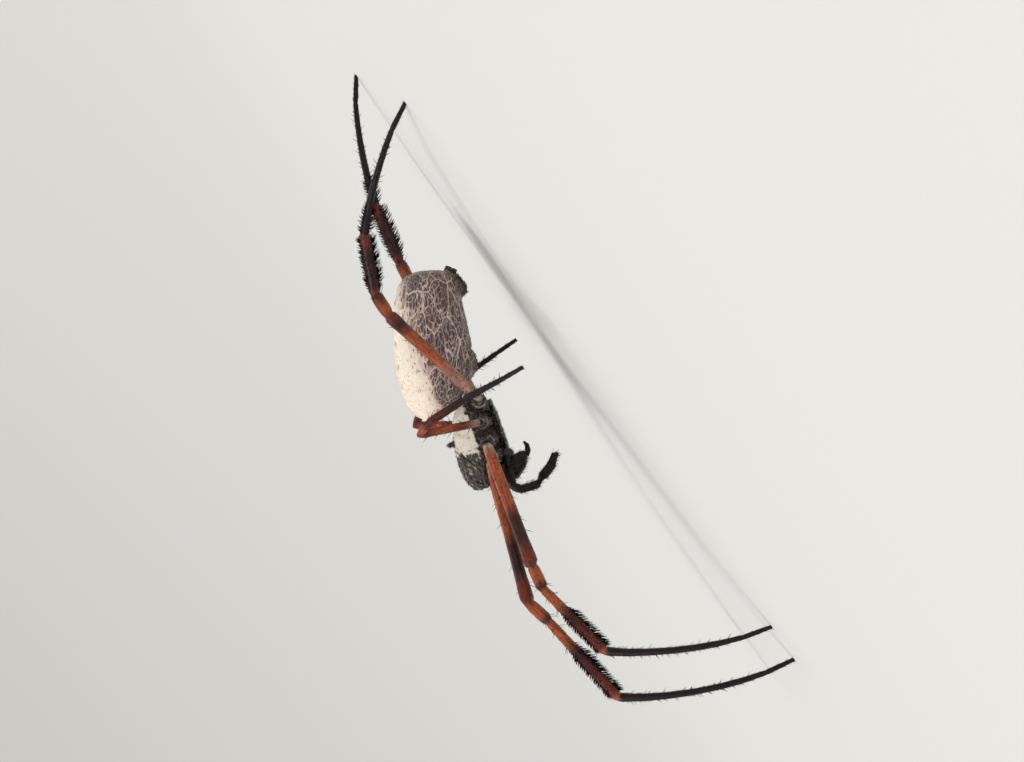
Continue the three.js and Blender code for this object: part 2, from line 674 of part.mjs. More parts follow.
function addBody() {
  const sockets = SIDES.flatMap(({ side }) => EYES.map((eye) => eyeShape(eye, side, EYE_GAP)));
  const shield = fused([shieldShape(0), ...SIDES.map(({ side }) => tubercleShape(side))]);
  addMesh(prosoma, "cephalothorax", cutClear(shield, sockets), MATERIALS.shield);
  addMesh(prosoma, "sternum", sternumShape(0), MATERIALS.underside);
  const lobes = [ellipsoid(bodyPoint(LABIUM.forward, 0, LABIUM.up), LABIUM.radii)];
  for (const { side } of SIDES) {
    lobes.push(ellipsoid(bodyPoint(ENDITE.forward, side * ENDITE.aside, ENDITE.up), ENDITE.radii));
  }
  const jaws = SIDES.map(({ side }) => cheliceraShape(side, GAP));
  const mouth = cutClear(fused(lobes), [shieldShape(GAP), sternumShape(GAP), ...jaws]);
  addMesh(prosoma, "mouthparts", mouth, MATERIALS.underside);
  for (const { side, name } of SIDES) {
    for (const eye of EYES) {
      addMesh(prosoma, `eye_${eye.name}_${name}`, eyeShape(eye, side, 0), MATERIALS.eye);
    }
    const jaw = cutClear(cheliceraShape(side, 0), [shieldShape(GAP)]);
    addMesh(prosoma, `chelicera_${name}`, jaw, MATERIALS.jaw);
    const fang = cutClear(fangShape(side), [cheliceraShape(side, GAP)]);
    addMesh(prosoma, `fang_${name}`, fang, MATERIALS.jaw);
  }
  addMesh(opisthosoma, "abdomen", abdomenShape(0), MATERIALS.abdomen);
  addMesh(opisthosoma, "spinnerets", cutClear(spinneretShape(), [abdomenShape(GAP)]), MATERIALS.spinnerets);
}

function addPedicel() {
  const { radius, behind, ahead, rise } = PEDICEL;
  const points = [ahead, (ahead + behind) / 2, behind].map((back, i) => {
    return new THREE.Vector3(0, back, PEDICEL_HEIGHT + rise * i);
  });
  const waist = bentTube(points, [radius, radius, radius], COXA_SIDES, [null, null]);
  const neighbours = [outOf(prosoma, shieldShape(GAP)), outOf(opisthosoma, abdomenShape(GAP))];
  addMesh(limbs, "pedicel", cutClear(waist, neighbours), MATERIALS.underside);
}

function addLeg(pair, side, sideName) {
  const roots = LEG_ROOTS[pair];
  const widths = WIDTHS[pair];
  const tag = `${pair + 1}_${sideName}`;
  const hip = prosoma.localToWorld(bodyPoint(roots.end[0], side * roots.end[1], roots.end[2]));
  const { joints, raised, foot } = legJoints(hip, LENGTHS[pair], POSES[sideName][pair], side);
  const axes = joints.slice(1).map((joint, i) => joint.clone().sub(joints[i]).normalize());
  axes.push(foot[1].clone().sub(foot[0]).normalize());

  const bodyFrame = prosoma.quaternion.clone().invert();
  const coxa = coxaShape(roots, side, axes[0].clone().applyQuaternion(bodyFrame));
  const hipHalf = (widths.femur[0] / 2) * JOINT_NARROWING;
  const stations = [...coxa.stations, { at: 1, halfAcross: hipHalf, halfUp: hipHalf }];
  const square = new THREE.Plane().setFromNormalAndCoplanarPoint(coxa.axis, coxa.root);
  const coxaPiece = legPiece(coxa.root, coxa.end, square, coxa.plane, stations, COXA_SIDES);
  const trimmed = cutClear(coxaPiece, [shieldShape(GAP), sternumShape(GAP)]);
  addMesh(prosoma, `coxa_${tag}`, trimmed, MATERIALS.coxa);

  const coxaAxis = coxa.axis.clone().applyQuaternion(prosoma.quaternion);
  const planes = axes.map((axis, i) => {
    const before = i === 0 ? coxaAxis : axes[i - 1];
    return [jointPlane(joints[i], before, axis, -GAP / 2), jointPlane(joints[i], before, axis, GAP / 2)];
  });
  ["femur", "patella", "tibia"].forEach((piece, i) => {
    const shape = legPiece(
      joints[i],
      joints[i + 1],
      planes[i][1],
      planes[i + 1][0],
      pieceStations(piece, widths[piece]),
      LEG_SIDES,
    );
    const brush = piece === "tibia" ? BRUSHES[pair] : null;
    const seed = BRUSH_SEED + pair * 2 + side;
    const half = widths[piece][1] / 2;
    const whole = brush ? brushed(shape, joints[i], joints[i + 1], brush, half, seed) : shape;
    addMesh(limbs, `${piece}_${tag}`, whole, MATERIALS[piece]);
  });

  const [thick, thin, tip] = widths.foot;
  const halfWidths = foot.map((_, i) => {
    const share = Math.min(1, i / FOOT_TAPER);
    return i === foot.length - 1 ? tip / 2 : THREE.MathUtils.lerp(thick, thin, share) / 2;
  });
  const floor = new THREE.Plane(new THREE.Vector3(0, 0, 1), 0);
  const footShape = bentTube(foot, halfWidths, LEG_SIDES, [planes.at(-1)[1], raised ? null : floor]);
  addMesh(limbs, `foot_${tag}`, footShape, MATERIALS.foot);
}

function addPalp(side, sideName) {
  const [forward, aside, up] = PALP_ROOT;
  const root = prosoma.localToWorld(bodyPoint(forward, side * aside, up));
  const neighbours = [shieldShape(GAP), cheliceraShape(side, GAP), sternumShape(GAP)];
  const feeler = cutClear(palpShape(root, side), neighbours.map((shape) => outOf(prosoma, shape)));
  addMesh(limbs, `palp_${sideName}`, feeler, MATERIALS.foot);
}

addBody();
addPedicel();
for (const { side, name } of SIDES) {
  addPalp(side, name);
  for (let pair = 0; pair < LENGTHS.length; pair++) addLeg(pair, side, name);
}

// The whole animal moved so that the middle of its underside is the origin.
const model = new THREE.Group();
model.add(spider);
const box = new THREE.Box3().setFromObject(spider);
spider.position.set(-(box.min.x + box.max.x) / 2, -(box.min.y + box.max.y) / 2, -box.min.z);

export default model;
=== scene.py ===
"""Golden silk orb weaver: the looks of a life-size museum model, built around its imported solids."""
import math

import bmesh
import bpy
import numpy as np
from bpy.props import FloatProperty, FloatVectorProperty, IntProperty, PointerProperty
from mathutils import Matrix, Vector, noise
from mathutils.bvhtree import BVHTree


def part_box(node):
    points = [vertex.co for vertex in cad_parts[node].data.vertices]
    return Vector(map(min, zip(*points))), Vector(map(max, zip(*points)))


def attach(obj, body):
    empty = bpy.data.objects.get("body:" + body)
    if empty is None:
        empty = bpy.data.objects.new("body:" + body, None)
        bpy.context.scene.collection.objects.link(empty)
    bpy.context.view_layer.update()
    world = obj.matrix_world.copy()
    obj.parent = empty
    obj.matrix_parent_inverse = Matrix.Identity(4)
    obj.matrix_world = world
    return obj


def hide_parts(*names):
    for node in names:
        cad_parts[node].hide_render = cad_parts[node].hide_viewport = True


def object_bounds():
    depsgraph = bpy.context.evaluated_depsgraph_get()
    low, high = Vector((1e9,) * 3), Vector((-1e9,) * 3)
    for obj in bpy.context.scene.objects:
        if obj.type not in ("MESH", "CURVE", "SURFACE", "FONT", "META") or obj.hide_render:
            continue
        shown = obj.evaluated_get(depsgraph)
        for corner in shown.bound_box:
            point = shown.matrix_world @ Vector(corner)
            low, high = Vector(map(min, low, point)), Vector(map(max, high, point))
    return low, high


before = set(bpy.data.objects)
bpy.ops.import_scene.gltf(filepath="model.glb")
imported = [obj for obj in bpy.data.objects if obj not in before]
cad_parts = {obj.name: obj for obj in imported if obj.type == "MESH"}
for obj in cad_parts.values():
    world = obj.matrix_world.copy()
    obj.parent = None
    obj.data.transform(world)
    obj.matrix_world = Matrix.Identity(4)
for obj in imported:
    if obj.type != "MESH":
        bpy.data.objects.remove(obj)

bl_info = {
    "name": "Golden Orb Weaver Model",
    "version": (1, 0, 0),
    "blender": (4, 5, 0),
    "location": "View3D > Sidebar > Weaver",
    "description": "Shell, hair and stage of a life-size orb weaver",
    "category": "Object",
}

MM = 0.001
SOLID_BOX = [list(corner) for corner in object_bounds()]
SIDES = ("left", "right")
PAIRS = (1, 2, 3, 4)
SHIELD_LOW, SHIELD_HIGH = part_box("cephalothorax")
SHIELD_MIDDLE = (SHIELD_LOW + SHIELD_HIGH) / 2
WAIST = Vector((SHIELD_MIDDLE.x, SHIELD_HIGH.y + 0.56 * MM, SHIELD_LOW.z + 1.02 * MM))
EYE_NODES = [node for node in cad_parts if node.startswith("eye_")]
ABDOMEN_LOW, ABDOMEN_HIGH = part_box("abdomen")
ABDOMEN_MIDDLE = (ABDOMEN_LOW + ABDOMEN_HIGH) / 2
PROSOMA_PITCH = math.radians(15)
ABDOMEN_PITCH = math.radians(32)
SEED = 11


def linear(code):
    """An sRGB hex colour as linear red, green, blue and a full alpha."""
    shares = [int(code[i : i + 2], 16) / 255 for i in (1, 3, 5)]
    low = [share / 12.92 if share <= 0.04045 else ((share + 0.055) / 1.055) ** 2.4 for share in shares]
    return (*low, 1.0)


def colour_prop(code, use):
    return FloatVectorProperty(name=use, subtype="COLOR", size=4, min=0, max=1, default=linear(code))


def length_prop(millimetres, use):
    return FloatProperty(name=use, unit="LENGTH", default=millimetres * MM)


class WeaverColours(bpy.types.PropertyGroup):
    """Colours of the shell and the hair."""

    orange: colour_prop("#a4522f", "Shell of the femora where they are brightest")
    pale_orange: colour_prop("#ab7b69", "Shell of the femora near the body")
    red_brown: colour_prop("#6a2c20", "Shell of the knees and the ends of the shins")
    dark_red: colour_prop("#35161a", "Shell of the shins under their brushes")
    dark_brown: colour_prop("#3b1a14", "Bands on the femora")
    black: colour_prop("#060607", "Shell of the feet, palps and jaws")
    coat_black: colour_prop("#0a090a", "Brushes and bristles")
    coat_cream: colour_prop("#fff8ea", "Felt on the shield")
    coat_grey: colour_prop("#b8aca2", "Hair on the coxae and the breast plate")
    gold: colour_prop("#6b4c2c", "Worn hair between the streaks of the head")
    shell_brown: colour_prop("#241811", "Shield where the felt is worn or absent")
    cell: colour_prop("#60433f", "Purple-brown cells of the abdomen")
    cell_dark: colour_prop("#3c282c", "Cells low on the flanks")
    vein: colour_prop("#dcc5ba", "Cream net on the abdomen")
    blush: colour_prop("#c79a8a", "Faint streaks between the silver of the back")
    silver: colour_prop("#f8ead6", "Silvery cream of the back")
    floor: colour_prop("#dfdedb", "Plain studio floor")


class WeaverSizes(bpy.types.PropertyGroup):
    """Sizes of the skin, its hair and the view."""

    body_voxel: length_prop(0.15, "Edges of the mesh of the body's skin")
    closing: length_prop(0.17, "How far plates grow before they are fused")
    brush_length: length_prop(1.75, "Length of the brush bristles")
    brush_width: length_prop(0.12, "Width of the brush bristles at the root")
    brush_bristles: IntProperty(name="Bristles in a shin's brush", default=820)
    hair_length: length_prop(0.55, "Length of the short hair on the legs")
    hair_width: length_prop(0.055, "Width of that hair at its root")
    spine_length: length_prop(2.0, "Length of the scattered spines")
    felt_length: length_prop(0.5, "Length of the felt on the shield")
    down_length: length_prop(0.32, "Length of the down on the abdomen")
    view_distance: length_prop(486, "Camera to the point it looks at")
    view_lens: FloatProperty(name="Focal length on a 36 mm sensor", default=100)
    view_elevation: FloatProperty(name="Camera above level", subtype="ANGLE", default=math.radians(3.5))
    view_roll: FloatProperty(
        name="Turn of the head's direction from the foot of the picture", subtype="ANGLE",
        default=math.radians(35.05),
    )


def sizes():
    return bpy.context.scene.weaver_sizes


def colours():
    return bpy.context.scene.weaver_colours


# Measuring the solids


def threes(items, field, kind=float):
    """A field of three numbers of each item, as an array with a row for each."""
    values = np.empty(len(items) * 3, dtype=kind)
    items.foreach_get(field, values)
    return values.reshape(-1, 3)


def solid_points(name):
    """The corners of a solid, each once, as an array in metres."""
    return np.unique(np.round(threes(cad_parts[name].data.vertices, "co"), 7), axis=0)


END_NARROWING = 0.86  # how far the solids draw in at a joint
END_REACH = 1.0 * MM


def end_half_width(points, joint, axis):
    """Half the width of a piece of leg near one of its joints, from its innermost corners there."""
    offsets = points - np.array(joint)
    along = offsets @ np.array(axis)
    away = np.linalg.norm(offsets - along[:, None] * np.array(axis), axis=1)
    near = np.abs(along) < max(END_REACH, np.abs(along).min() * 1.5)
    return away[near].min() / END_NARROWING


def joint_between(near, far, reach=0.5 * MM):
    """The middle of the gap between the facing ends of two solids."""
    ends = []
    for points, others in ((near, far), (far, near)):
        nearest = np.min(np.linalg.norm(points[:, None] - others[None], axis=2), axis=1)
        close = points[nearest < max(reach, nearest.min() * 1.2)]
        ends.append(close.mean(axis=0))
    return Vector((ends[0] + ends[1]) / 2)


RING_CORNERS = 8


def foot_rings(points, start, end):
    """The rings of corners of a bowed foot, nearest the shin first."""
    order = np.argsort(points @ np.array(end - start))
    return points[order].reshape(-1, RING_CORNERS, 3)


def foot_line(name, start):
    """The middle line of a bowed foot."""
    points = solid_points(name)
    rings = foot_rings(points, start, Vector(points[np.argmin(points[:, 2])]))
    return [start] + [Vector(ring.mean(axis=0)) for ring in rings[1:]]


def foot_half_widths(points, line):
    """Half the width of a foot at each ring of its corners."""
    rings = foot_rings(points, line[0], line[-1])
    return [np.linalg.norm(ring - ring.mean(axis=0), axis=1).min() for ring in rings]


def into_body(point, middle, pitch):
    """A point as how far forward, to the left and up it is in a pitched part of the body."""
    x, y, z = point[..., 0] - middle.x, point[..., 1] - middle.y, point[..., 2] - middle.z
    forward = -y * math.cos(pitch) + z * math.sin(pitch)
    upward = y * math.sin(pitch) + z * math.cos(pitch)
    return forward / MM, x / MM, upward / MM


def in_shield(places):
    return into_body(places, WAIST, PROSOMA_PITCH)


def in_abdomen(places):
    return into_body(places, ABDOMEN_MIDDLE, ABDOMEN_PITCH)


def body_unwrap(places, middle, pitch, length):
    """Round a body part's axis and along it, as on a map of the skin's own shape."""
    forward, aside, up = into_body(places, middle, pitch)
    turn = np.arctan2(up, aside) / math.tau + 0.5
    return np.stack([0.02 + 0.96 * turn, np.clip(0.5 + forward / length, 0.02, 0.97)], axis=1)


# Making meshes


def new_object(name, mesh):
    made = bpy.data.objects.new(name, mesh)
    bpy.context.scene.collection.objects.link(made)
    return made


def shade_smooth(mesh):
    mesh.polygons.foreach_set("use_smooth", [True] * len(mesh.polygons))
    mesh.update()


def mesh_from(name, made):
    """A smooth-shaded mesh from a bmesh, which is freed."""
    mesh = bpy.data.meshes.new(name)
    made.to_mesh(mesh)
    made.free()
    shade_smooth(mesh)
    return mesh


MERGE_DISTANCE = 0.002 * MM


def merged_copy(nodes, grow):
    """One mesh with copies of several solids, their corners merged and their skins grown."""
    together = bmesh.new()
    for name in nodes:
        part = bmesh.new()
        part.from_mesh(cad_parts[name].data)
        bmesh.ops.remove_doubles(part, verts=part.verts, dist=MERGE_DISTANCE)
        part.normal_update()
        for corner in part.verts:
            corner.co += corner.normal * grow
        scratch = mesh_from("part", part)
        together.from_mesh(scratch)
        bpy.data.meshes.remove(scratch)
    return mesh_from("plates", together)


def fused_skin(name, nodes, voxel, grow, rounds):
    """One smooth closed skin over several solids, with the gaps between them closed."""
    made = new_object(name, merged_copy(nodes, grow))
    remesh = made.modifiers.new("fuse", "REMESH")
    remesh.mode = "VOXEL"
    remesh.voxel_size = voxel
    smooth = made.modifiers.new("smooth", "SMOOTH")
    smooth.factor = 0.5
    smooth.iterations = rounds
    apply_modifiers(made)
    move_out(made.data, np.full(len(made.data.vertices), -grow))
    shade_smooth(made.data)
    return made


def middle_and_radius(name):
    """The middle and the radius of a round solid."""
    low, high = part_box(name)
    return (low + high) / 2, (high - low).length / 2 / math.sqrt(3)


def ball(name, middle, radius):
    made = bmesh.new()
    place = Matrix.Translation(middle)
    bmesh.ops.create_uvsphere(made, u_segments=24, v_segments=16, radius=radius, matrix=place)
    return new_object(name, mesh_from(name, made))


def apply_modifiers(made):
    view = bpy.context.evaluated_depsgraph_get()
    finished = bpy.data.meshes.new_from_object(made.evaluated_get(view))
    made.modifiers.clear()
    made.data = finished


def corners_of(mesh):
    """Places and normals of a mesh's corners as arrays."""
    return threes(mesh.vertices, "co"), threes(mesh.vertices, "normal")


def move_out(mesh, distances):
    """Moves each corner along its normal by its own distance."""
    places, normals = corners_of(mesh)
    places += normals * np.asarray(distances)[:, None]
    mesh.vertices.foreach_set("co", places.ravel())
    mesh.update()


def paint(mesh, name, values):
    """Keeps one number for each corner under a name that materials read."""
    layer = mesh.attributes.new(name, "FLOAT", "POINT")
    layer.data.foreach_set("value", np.asarray(values, dtype=np.float32))


def smoothstep(low, high, values):
    share = np.clip((values - low) / (high - low), 0, 1)
    return share * share * (3 - 2 * share)


def hill(distance, width):
    return np.exp(-((distance / width) ** 2))


def grain(places, size, seed=0):
    """Smooth noise from -1 to 1 at each place, with features of a size in metres."""
    offset = Vector((seed * 7.3, seed * 3.1, seed * 5.7))
    return np.array([noise.noise(Vector(place) / size + offset) for place in places])


# Hair, which is one small tapered blade on many roots


def hair_blade():
    """A closed three-sided blade of unit length and width with one bend ring."""
    blade = bmesh.new()
    bmesh.ops.create_cone(blade, cap_ends=True, segments=3, radius1=0.5, radius2=0.0, depth=1.0)
    bmesh.ops.translate(blade, verts=blade.verts, vec=(0, 0, 0.5))
    bmesh.ops.remove_doubles(blade, verts=blade.verts, dist=1e-5)
    bmesh.ops.bisect_plane(blade, geom=blade.verts[:] + blade.edges[:] + blade.faces[:],
                           plane_co=(0, 0, 0.5), plane_no=(0, 0, 1))
    bmesh.ops.triangulate(blade, faces=blade.faces)
    places = np.array([corner.co[:] for corner in blade.verts])
    faces = np.array([[corner.index for corner in face.verts] for face in blade.faces])
    blade.free()
    belly = 1 + 0.5 * (np.abs(places[:, 2] - 0.5) < 0.01)  # a blade keeps its width to the middle
    places[:, :2] *= belly[:, None]
    return places, faces


PATCH = 0.003  # size of one hair's patch on the bake map


class Coat:
    """Gathers hairs from many roots and joins their blades into one piece."""

    def __init__(self):
        self.rows = []

    def add(self, roots, lays, lengths, widths, bends, unwrap, tints):
        """Adds hairs: each root is a place and an outward direction, and each lay is a hair's own."""
        count = len(lays)
        measures = np.stack([np.broadcast_to(each, count) for each in (lengths, widths, bends)], axis=1)
        tinted = np.broadcast_to(tints, (count, 4))
        self.rows.append(np.hstack([*roots, lays, measures, unwrap, tinted]))

    def settle(self, name, slot, finish="bristle", values=None):
        """Makes the piece, with tints or else with what a function says of its roots."""
        columns = np.split(np.concatenate(self.rows), (3, 6, 9, 10, 11, 12, 14), axis=1)
        places, unwrap, tints = columns[0], columns[6], columns[7]
        blade, faces = hair_blade()
        corners = self.corners(blade, *columns[:6])
        low, high = (np.array(corner) for corner in SOLID_BOX)
        inside = np.all((corners >= low) & (corners <= high), axis=(1, 2))
        corners, unwrap = corners[inside], unwrap[inside]
        count, size = len(corners), len(blade)
        joined = (faces + (np.arange(count) * size)[:, None, None]).reshape(-1, 3)
        mesh = bpy.data.meshes.new(name)
        mesh.vertices.add(count * size)
        mesh.vertices.foreach_set("co", corners.ravel())
        mesh.loops.add(joined.size)
        mesh.loops.foreach_set("vertex_index", joined.ravel())
        mesh.polygons.add(len(joined))
        mesh.polygons.foreach_set("loop_start", np.arange(0, joined.size, 3))
        mesh.update(calc_edges=True)
        shade_smooth(mesh)
        spots = (unwrap[:, None] + (blade[:, [0, 2]] * PATCH)[None]).reshape(-1, 2)
        layer = mesh.uv_layers.new(name="OFBake")
        layer.data.foreach_set("uv", spots[joined.ravel()].ravel())
        if values is None:
            layer = mesh.color_attributes.new("tint", "FLOAT_COLOR", "POINT")
            shown = np.repeat(tints[inside], size, axis=0)
            layer.data.foreach_set("color", shown.astype(np.float32).ravel())
        else:
            for key, amounts in values(places).items():
                paint(mesh, key, np.repeat(amounts[inside], size))
        settle(new_object(name, mesh), slot, finish)

    @staticmethod
    def corners(blade, places, outs, lays, lengths, widths, bends):
        """The corners of every blade, drooping more toward its tip."""
        across = np.cross(outs, lays)
        across /= np.linalg.norm(across, axis=1)[:, None] + 1e-12
        back = np.cross(across, lays)
        lengths, widths, bends = (each[:, None] for each in (lengths, widths, bends))
        side, depth, rise = (blade[None, :, i, None] for i in range(3))
        return (
            places[:, None]
            + across[:, None] * side * widths
            + back[:, None] * depth * widths
            + lays[:, None] * (rise * lengths)
            - outs[:, None] * (rise**2 * (lengths * bends))
        )


def scattered(mesh, count, draw, keep):
    """Random places on a mesh's faces, evenly by area, thinned by how much each face keeps."""
    mesh.calc_loop_triangles()
    places, _ = corners_of(mesh)
    corners = places[threes(mesh.loop_triangles, "vertices", np.int64)]
    normals = np.cross(corners[:, 1] - corners[:, 0], corners[:, 2] - corners[:, 0])
    areas = np.linalg.norm(normals, axis=1)
    normals /= areas[:, None] + 1e-20
    weights = areas * keep(corners.mean(axis=1), normals)
    chosen = draw.choice(len(areas), size=count, p=weights / weights.sum())
    mix = draw.random((count, 2))
    flip = mix.sum(axis=1) > 1
    mix[flip] = 1 - mix[flip]
    first, second, third = (corners[chosen, i] for i in range(3))
    spots = first + (second - first) * mix[:, :1] + (third - first) * mix[:, 1:]
    return spots, normals[chosen]


def lay_along(outs, flow, lift):
    """Unit directions that lie along a flow over the surface, lifted off it by an angle's tangent."""
    level = flow - outs * np.sum(flow * outs, axis=1)[:, None]
    level /= np.linalg.norm(level, axis=1)[:, None] + 1e-12
    lays = level + outs * np.asarray(lift).reshape(-1, 1)
    return lays / np.linalg.norm(lays, axis=1)[:, None]


RARE = 1e-6  # weight of a face where a coat has next to no hair


def everywhere(places, normals):
    return np.ones(len(places))


def sprouts(mesh, count, draw, flow, keep, *, lift, length, width, wander=0, unit=MM):
    """Scattered roots, and the lie, length and width of their hairs, each drawn from its own range."""
    spots, outs = scattered(mesh, count, draw, keep)
    along = flow(spots) if callable(flow) else np.tile(np.array(flow), (count, 1))
    if wander:
        along = along + draw.normal(0, wander, (count, 3))
    lays = lay_along(outs, along, draw.uniform(*lift, count))
    lengths = unit * draw.uniform(*length, count)
    return (spots, outs), lays, lengths, draw.uniform(*width, count) * MM


def grow_coat(
    name, slot, mesh, *, seed, count, flow, bend, unwrap, tints, keep=everywhere, values=None, **ranges
):
    """Grows one coat over a skin; tints are worked out from the draw and the places."""
    draw = np.random.default_rng(SEED + seed)
    roots, *measures = sprouts(mesh, count, draw, flow, keep, **ranges)
    coat = Coat()
    coat.add(roots, *measures, bend, unwrap(roots[0]), tints(draw, roots[0]))
    coat.settle(name, slot, name if values else "bristle", values)


def either(choice, first, second):
    """One tint where the choice is true, and elsewhere the other."""
    return np.where(choice[:, None], np.array(first[:]), np.array(second[:]))


# Materials


def add_node(tree, kind, settings=None, inputs=None):
    """Adds a node, sets its own fields, and gives its sockets values or links."""
    made = tree.nodes.new(kind)
    for field, value in (settings or {}).items():
        setattr(made, field, value)
    for key, value in (inputs or {}).items():
        if isinstance(value, bpy.types.NodeSocket):
            tree.links.new(value, made.inputs[key])
        else:
            made.inputs[key].default_value = value
    return made


def new_material(name, roughness, specular=0.5, coat=0.0, coat_roughness=0.1, sheen=0.0):
    """A material with a plain principled shader whose colour and bump are still open."""
    made = bpy.data.materials.new(name)
    made.use_nodes = True
    shader = made.node_tree.nodes["Principled BSDF"]
    values = {
        "Roughness": roughness, "Specular IOR Level": specular, "Coat Weight": coat,
        "Coat Roughness": coat_roughness, "Sheen Weight": sheen,
    }
    for socket, value in values.items():
        shader.inputs[socket].default_value = value
    return made.node_tree, shader


def read_value(tree, name, kind="Fac"):
    """What is kept on the mesh under a name: a number, or a colour or vector where the kind says so."""
    return add_node(tree, "ShaderNodeAttribute", {"attribute_name": name}).outputs[kind]


def mixed(tree, share, first, second, blend="MIX"):
    """A mix of two colours, each a socket, a value or the name of one of the model's colours."""
    inputs = {0: share, 6: first, 7: second}
    for socket, colour in inputs.items():
        if isinstance(colour, str):
            inputs[socket] = getattr(colours(), colour)
    settings = {"data_type": "RGBA", "blend_type": blend}
    return add_node(tree, "ShaderNodeMix", settings, inputs).outputs[2]


def reckon(tree, operation, first, second):
    return add_node(tree, "ShaderNodeMath", {"operation": operation}, {0: first, 1: second}).outputs[0]


def times(tree, first, second):
    return reckon(tree, "MULTIPLY", first, second)


def plus(tree, first, second):
    return reckon(tree, "ADD", first, second)


def ramped(tree, value, low, high):
    """A smooth step of a value from nought at low to one at high."""
    settings = {"interpolation_type": "SMOOTHSTEP"}
    inputs = {"Value": value, "From Min": low, "From Max": high}
    return add_node(tree, "ShaderNodeMapRange", settings, inputs).outputs[0]


def mapped(tree, places, change, amounts):
    """Places after a turn or a stretch."""
    return add_node(tree, "ShaderNodeMapping", None, {"Vector": places, change: amounts}).outputs[0]


def object_places(tree, pitch=0.0, stretch=(1, 1, 1)):
    """Object coordinates turned level with a pitched part of the body."""
    places = add_node(tree, "ShaderNodeTexCoord").outputs["Object"]
    turned = mapped(tree, places, "Rotation", (pitch, 0, 0))
    return mapped(tree, turned, "Scale", stretch)


def speckle(tree, places, size, detail=3.0, output=0):
    """Noise with features of a real size in metres; its second output is a vector."""
    inputs = {"Vector": places, "Scale": 1 / size, "Detail": detail}
    return add_node(tree, "ShaderNodeTexNoise", None, inputs).outputs[output]


def cover(tree, shader, colour, height=None, depth=0.0):
    """Gives the shader its colour and, where there is a height, its bump."""
    tree.links.new(colour, shader.inputs["Base Color"])
    if height:
        bump = add_node(tree, "ShaderNodeBump", None, {"Height": height, "Distance": depth})
        tree.links.new(bump.outputs[0], shader.inputs["Normal"])


def leg_chitin():
    """Leg shell: hard, waxy chitin in warm browns, satin, streaked lengthwise, with spots and pores."""
    tree, shader = new_material("leg_chitin", 0.42, specular=0.22, coat=0.07, coat_roughness=0.25)
    places = object_places(tree)
    lies = read_value(tree, "lie", "Vector")
    lengthwise = mapped(tree, lies, "Scale", (1, 1, 0.13))
    base = read_value(tree, "tint", "Color")
    mottle = ramped(tree, speckle(tree, places, 0.9 * MM), 0.35, 0.7)
    cloudy = mixed(tree, times(tree, mottle, 0.3), base, "dark_brown")
    streaks = speckle(tree, lengthwise, 0.34 * MM, 3.0)
    dark = times(tree, ramped(tree, streaks, 0.51, 0.64), 0.62)
    pale = times(tree, ramped(tree, streaks, 0.47, 0.35), 0.65)
    lined = mixed(tree, dark, cloudy, (0.4, 0.33, 0.33, 1), "MULTIPLY")
    lit = mixed(tree, pale, lined, (1.55, 1.5, 1.5, 1), "MULTIPLY")
    spots = ramped(tree, speckle(tree, places, 0.3 * MM, 2.0), 0.6, 0.68)
    spotted = mixed(tree, times(tree, spots, 0.7), lit, "dark_red")
    height = plus(tree, streaks, speckle(tree, places, 0.14 * MM, 4.0))
    cover(tree, shader, spotted, height, 0.05 * MM)


def bristle():
    """Stiff hair: opaque black or pale chitin, a little glossy along each bristle."""
    tree, shader = new_material("bristle", 0.55, specular=0.12)
    cover(tree, shader, read_value(tree, "tint", "Color"))


def jaw_chitin():
    """Jaws and feelers: thick black chitin, polished like lacquer with faint pits."""
    tree, shader = new_material("jaw_chitin", 0.28, specular=0.16, coat=0.16, coat_roughness=0.12)
    places = object_places(tree)
    shade = ramped(tree, speckle(tree, places, 0.8 * MM), 0.4, 0.7)
    colour = mixed(tree, times(tree, shade, 0.5), "black", "dark_red")
    cover(tree, shader, colour, speckle(tree, places, 0.2 * MM, 3.0), 0.025 * MM)


def eye_lens():
    """Eyes: clear domed lens over a black cup, wet-looking and almost mirror smooth."""
    _, shader = new_material("eye_lens", 0.06, coat=1.0, coat_roughness=0.03)
    shader.inputs["Base Color"].default_value = linear("#0b0807")


def shield_shell():
    """Shield and underside: dark shell that shows between felted cream and grey hair."""
    tree, shader = new_material("shield_shell", 0.55, coat=0.1, coat_roughness=0.3)
    places = object_places(tree)
    mottle = ramped(tree, speckle(tree, places, 0.5 * MM), 0.35, 0.65)
    shell = mixed(tree, mottle, "shell_brown", "black")
    felt = read_value(tree, "felt")
    fray = reckon(tree, "SUBTRACT", speckle(tree, places, 0.22 * MM, 4.0), 0.5)
    covered = ramped(tree, plus(tree, felt, times(tree, fray, 0.7)), 0.3, 0.55)
    worn = ramped(tree, speckle(tree, object_places(tree, 0, (1, 0.4, 1)), 0.6 * MM, 3.0), 0.52, 0.66)
    gilt = times(tree, times(tree, worn, read_value(tree, "gilt")), 0.7)
    whole = mixed(tree, covered, mixed(tree, gilt, shell, "gold"), "coat_cream")
    ring = times(tree, read_value(tree, "ring"), 0.85)
    ringed = mixed(tree, ring, whole, "coat_grey")
    seamed = mixed(tree, times(tree, read_value(tree, "seam"), 0.9), ringed, "black")
    cover(tree, shader, seamed, speckle(tree, places, 0.12 * MM, 4.0), 0.06 * MM)


def vectors(tree, operation, first, second):
    """A sum or difference of vectors, or a vector times a number."""
    inputs = {0: first, "Scale" if operation == "SCALE" else 1: second}
    return add_node(tree, "ShaderNodeVectorMath", {"operation": operation}, inputs).outputs[0]


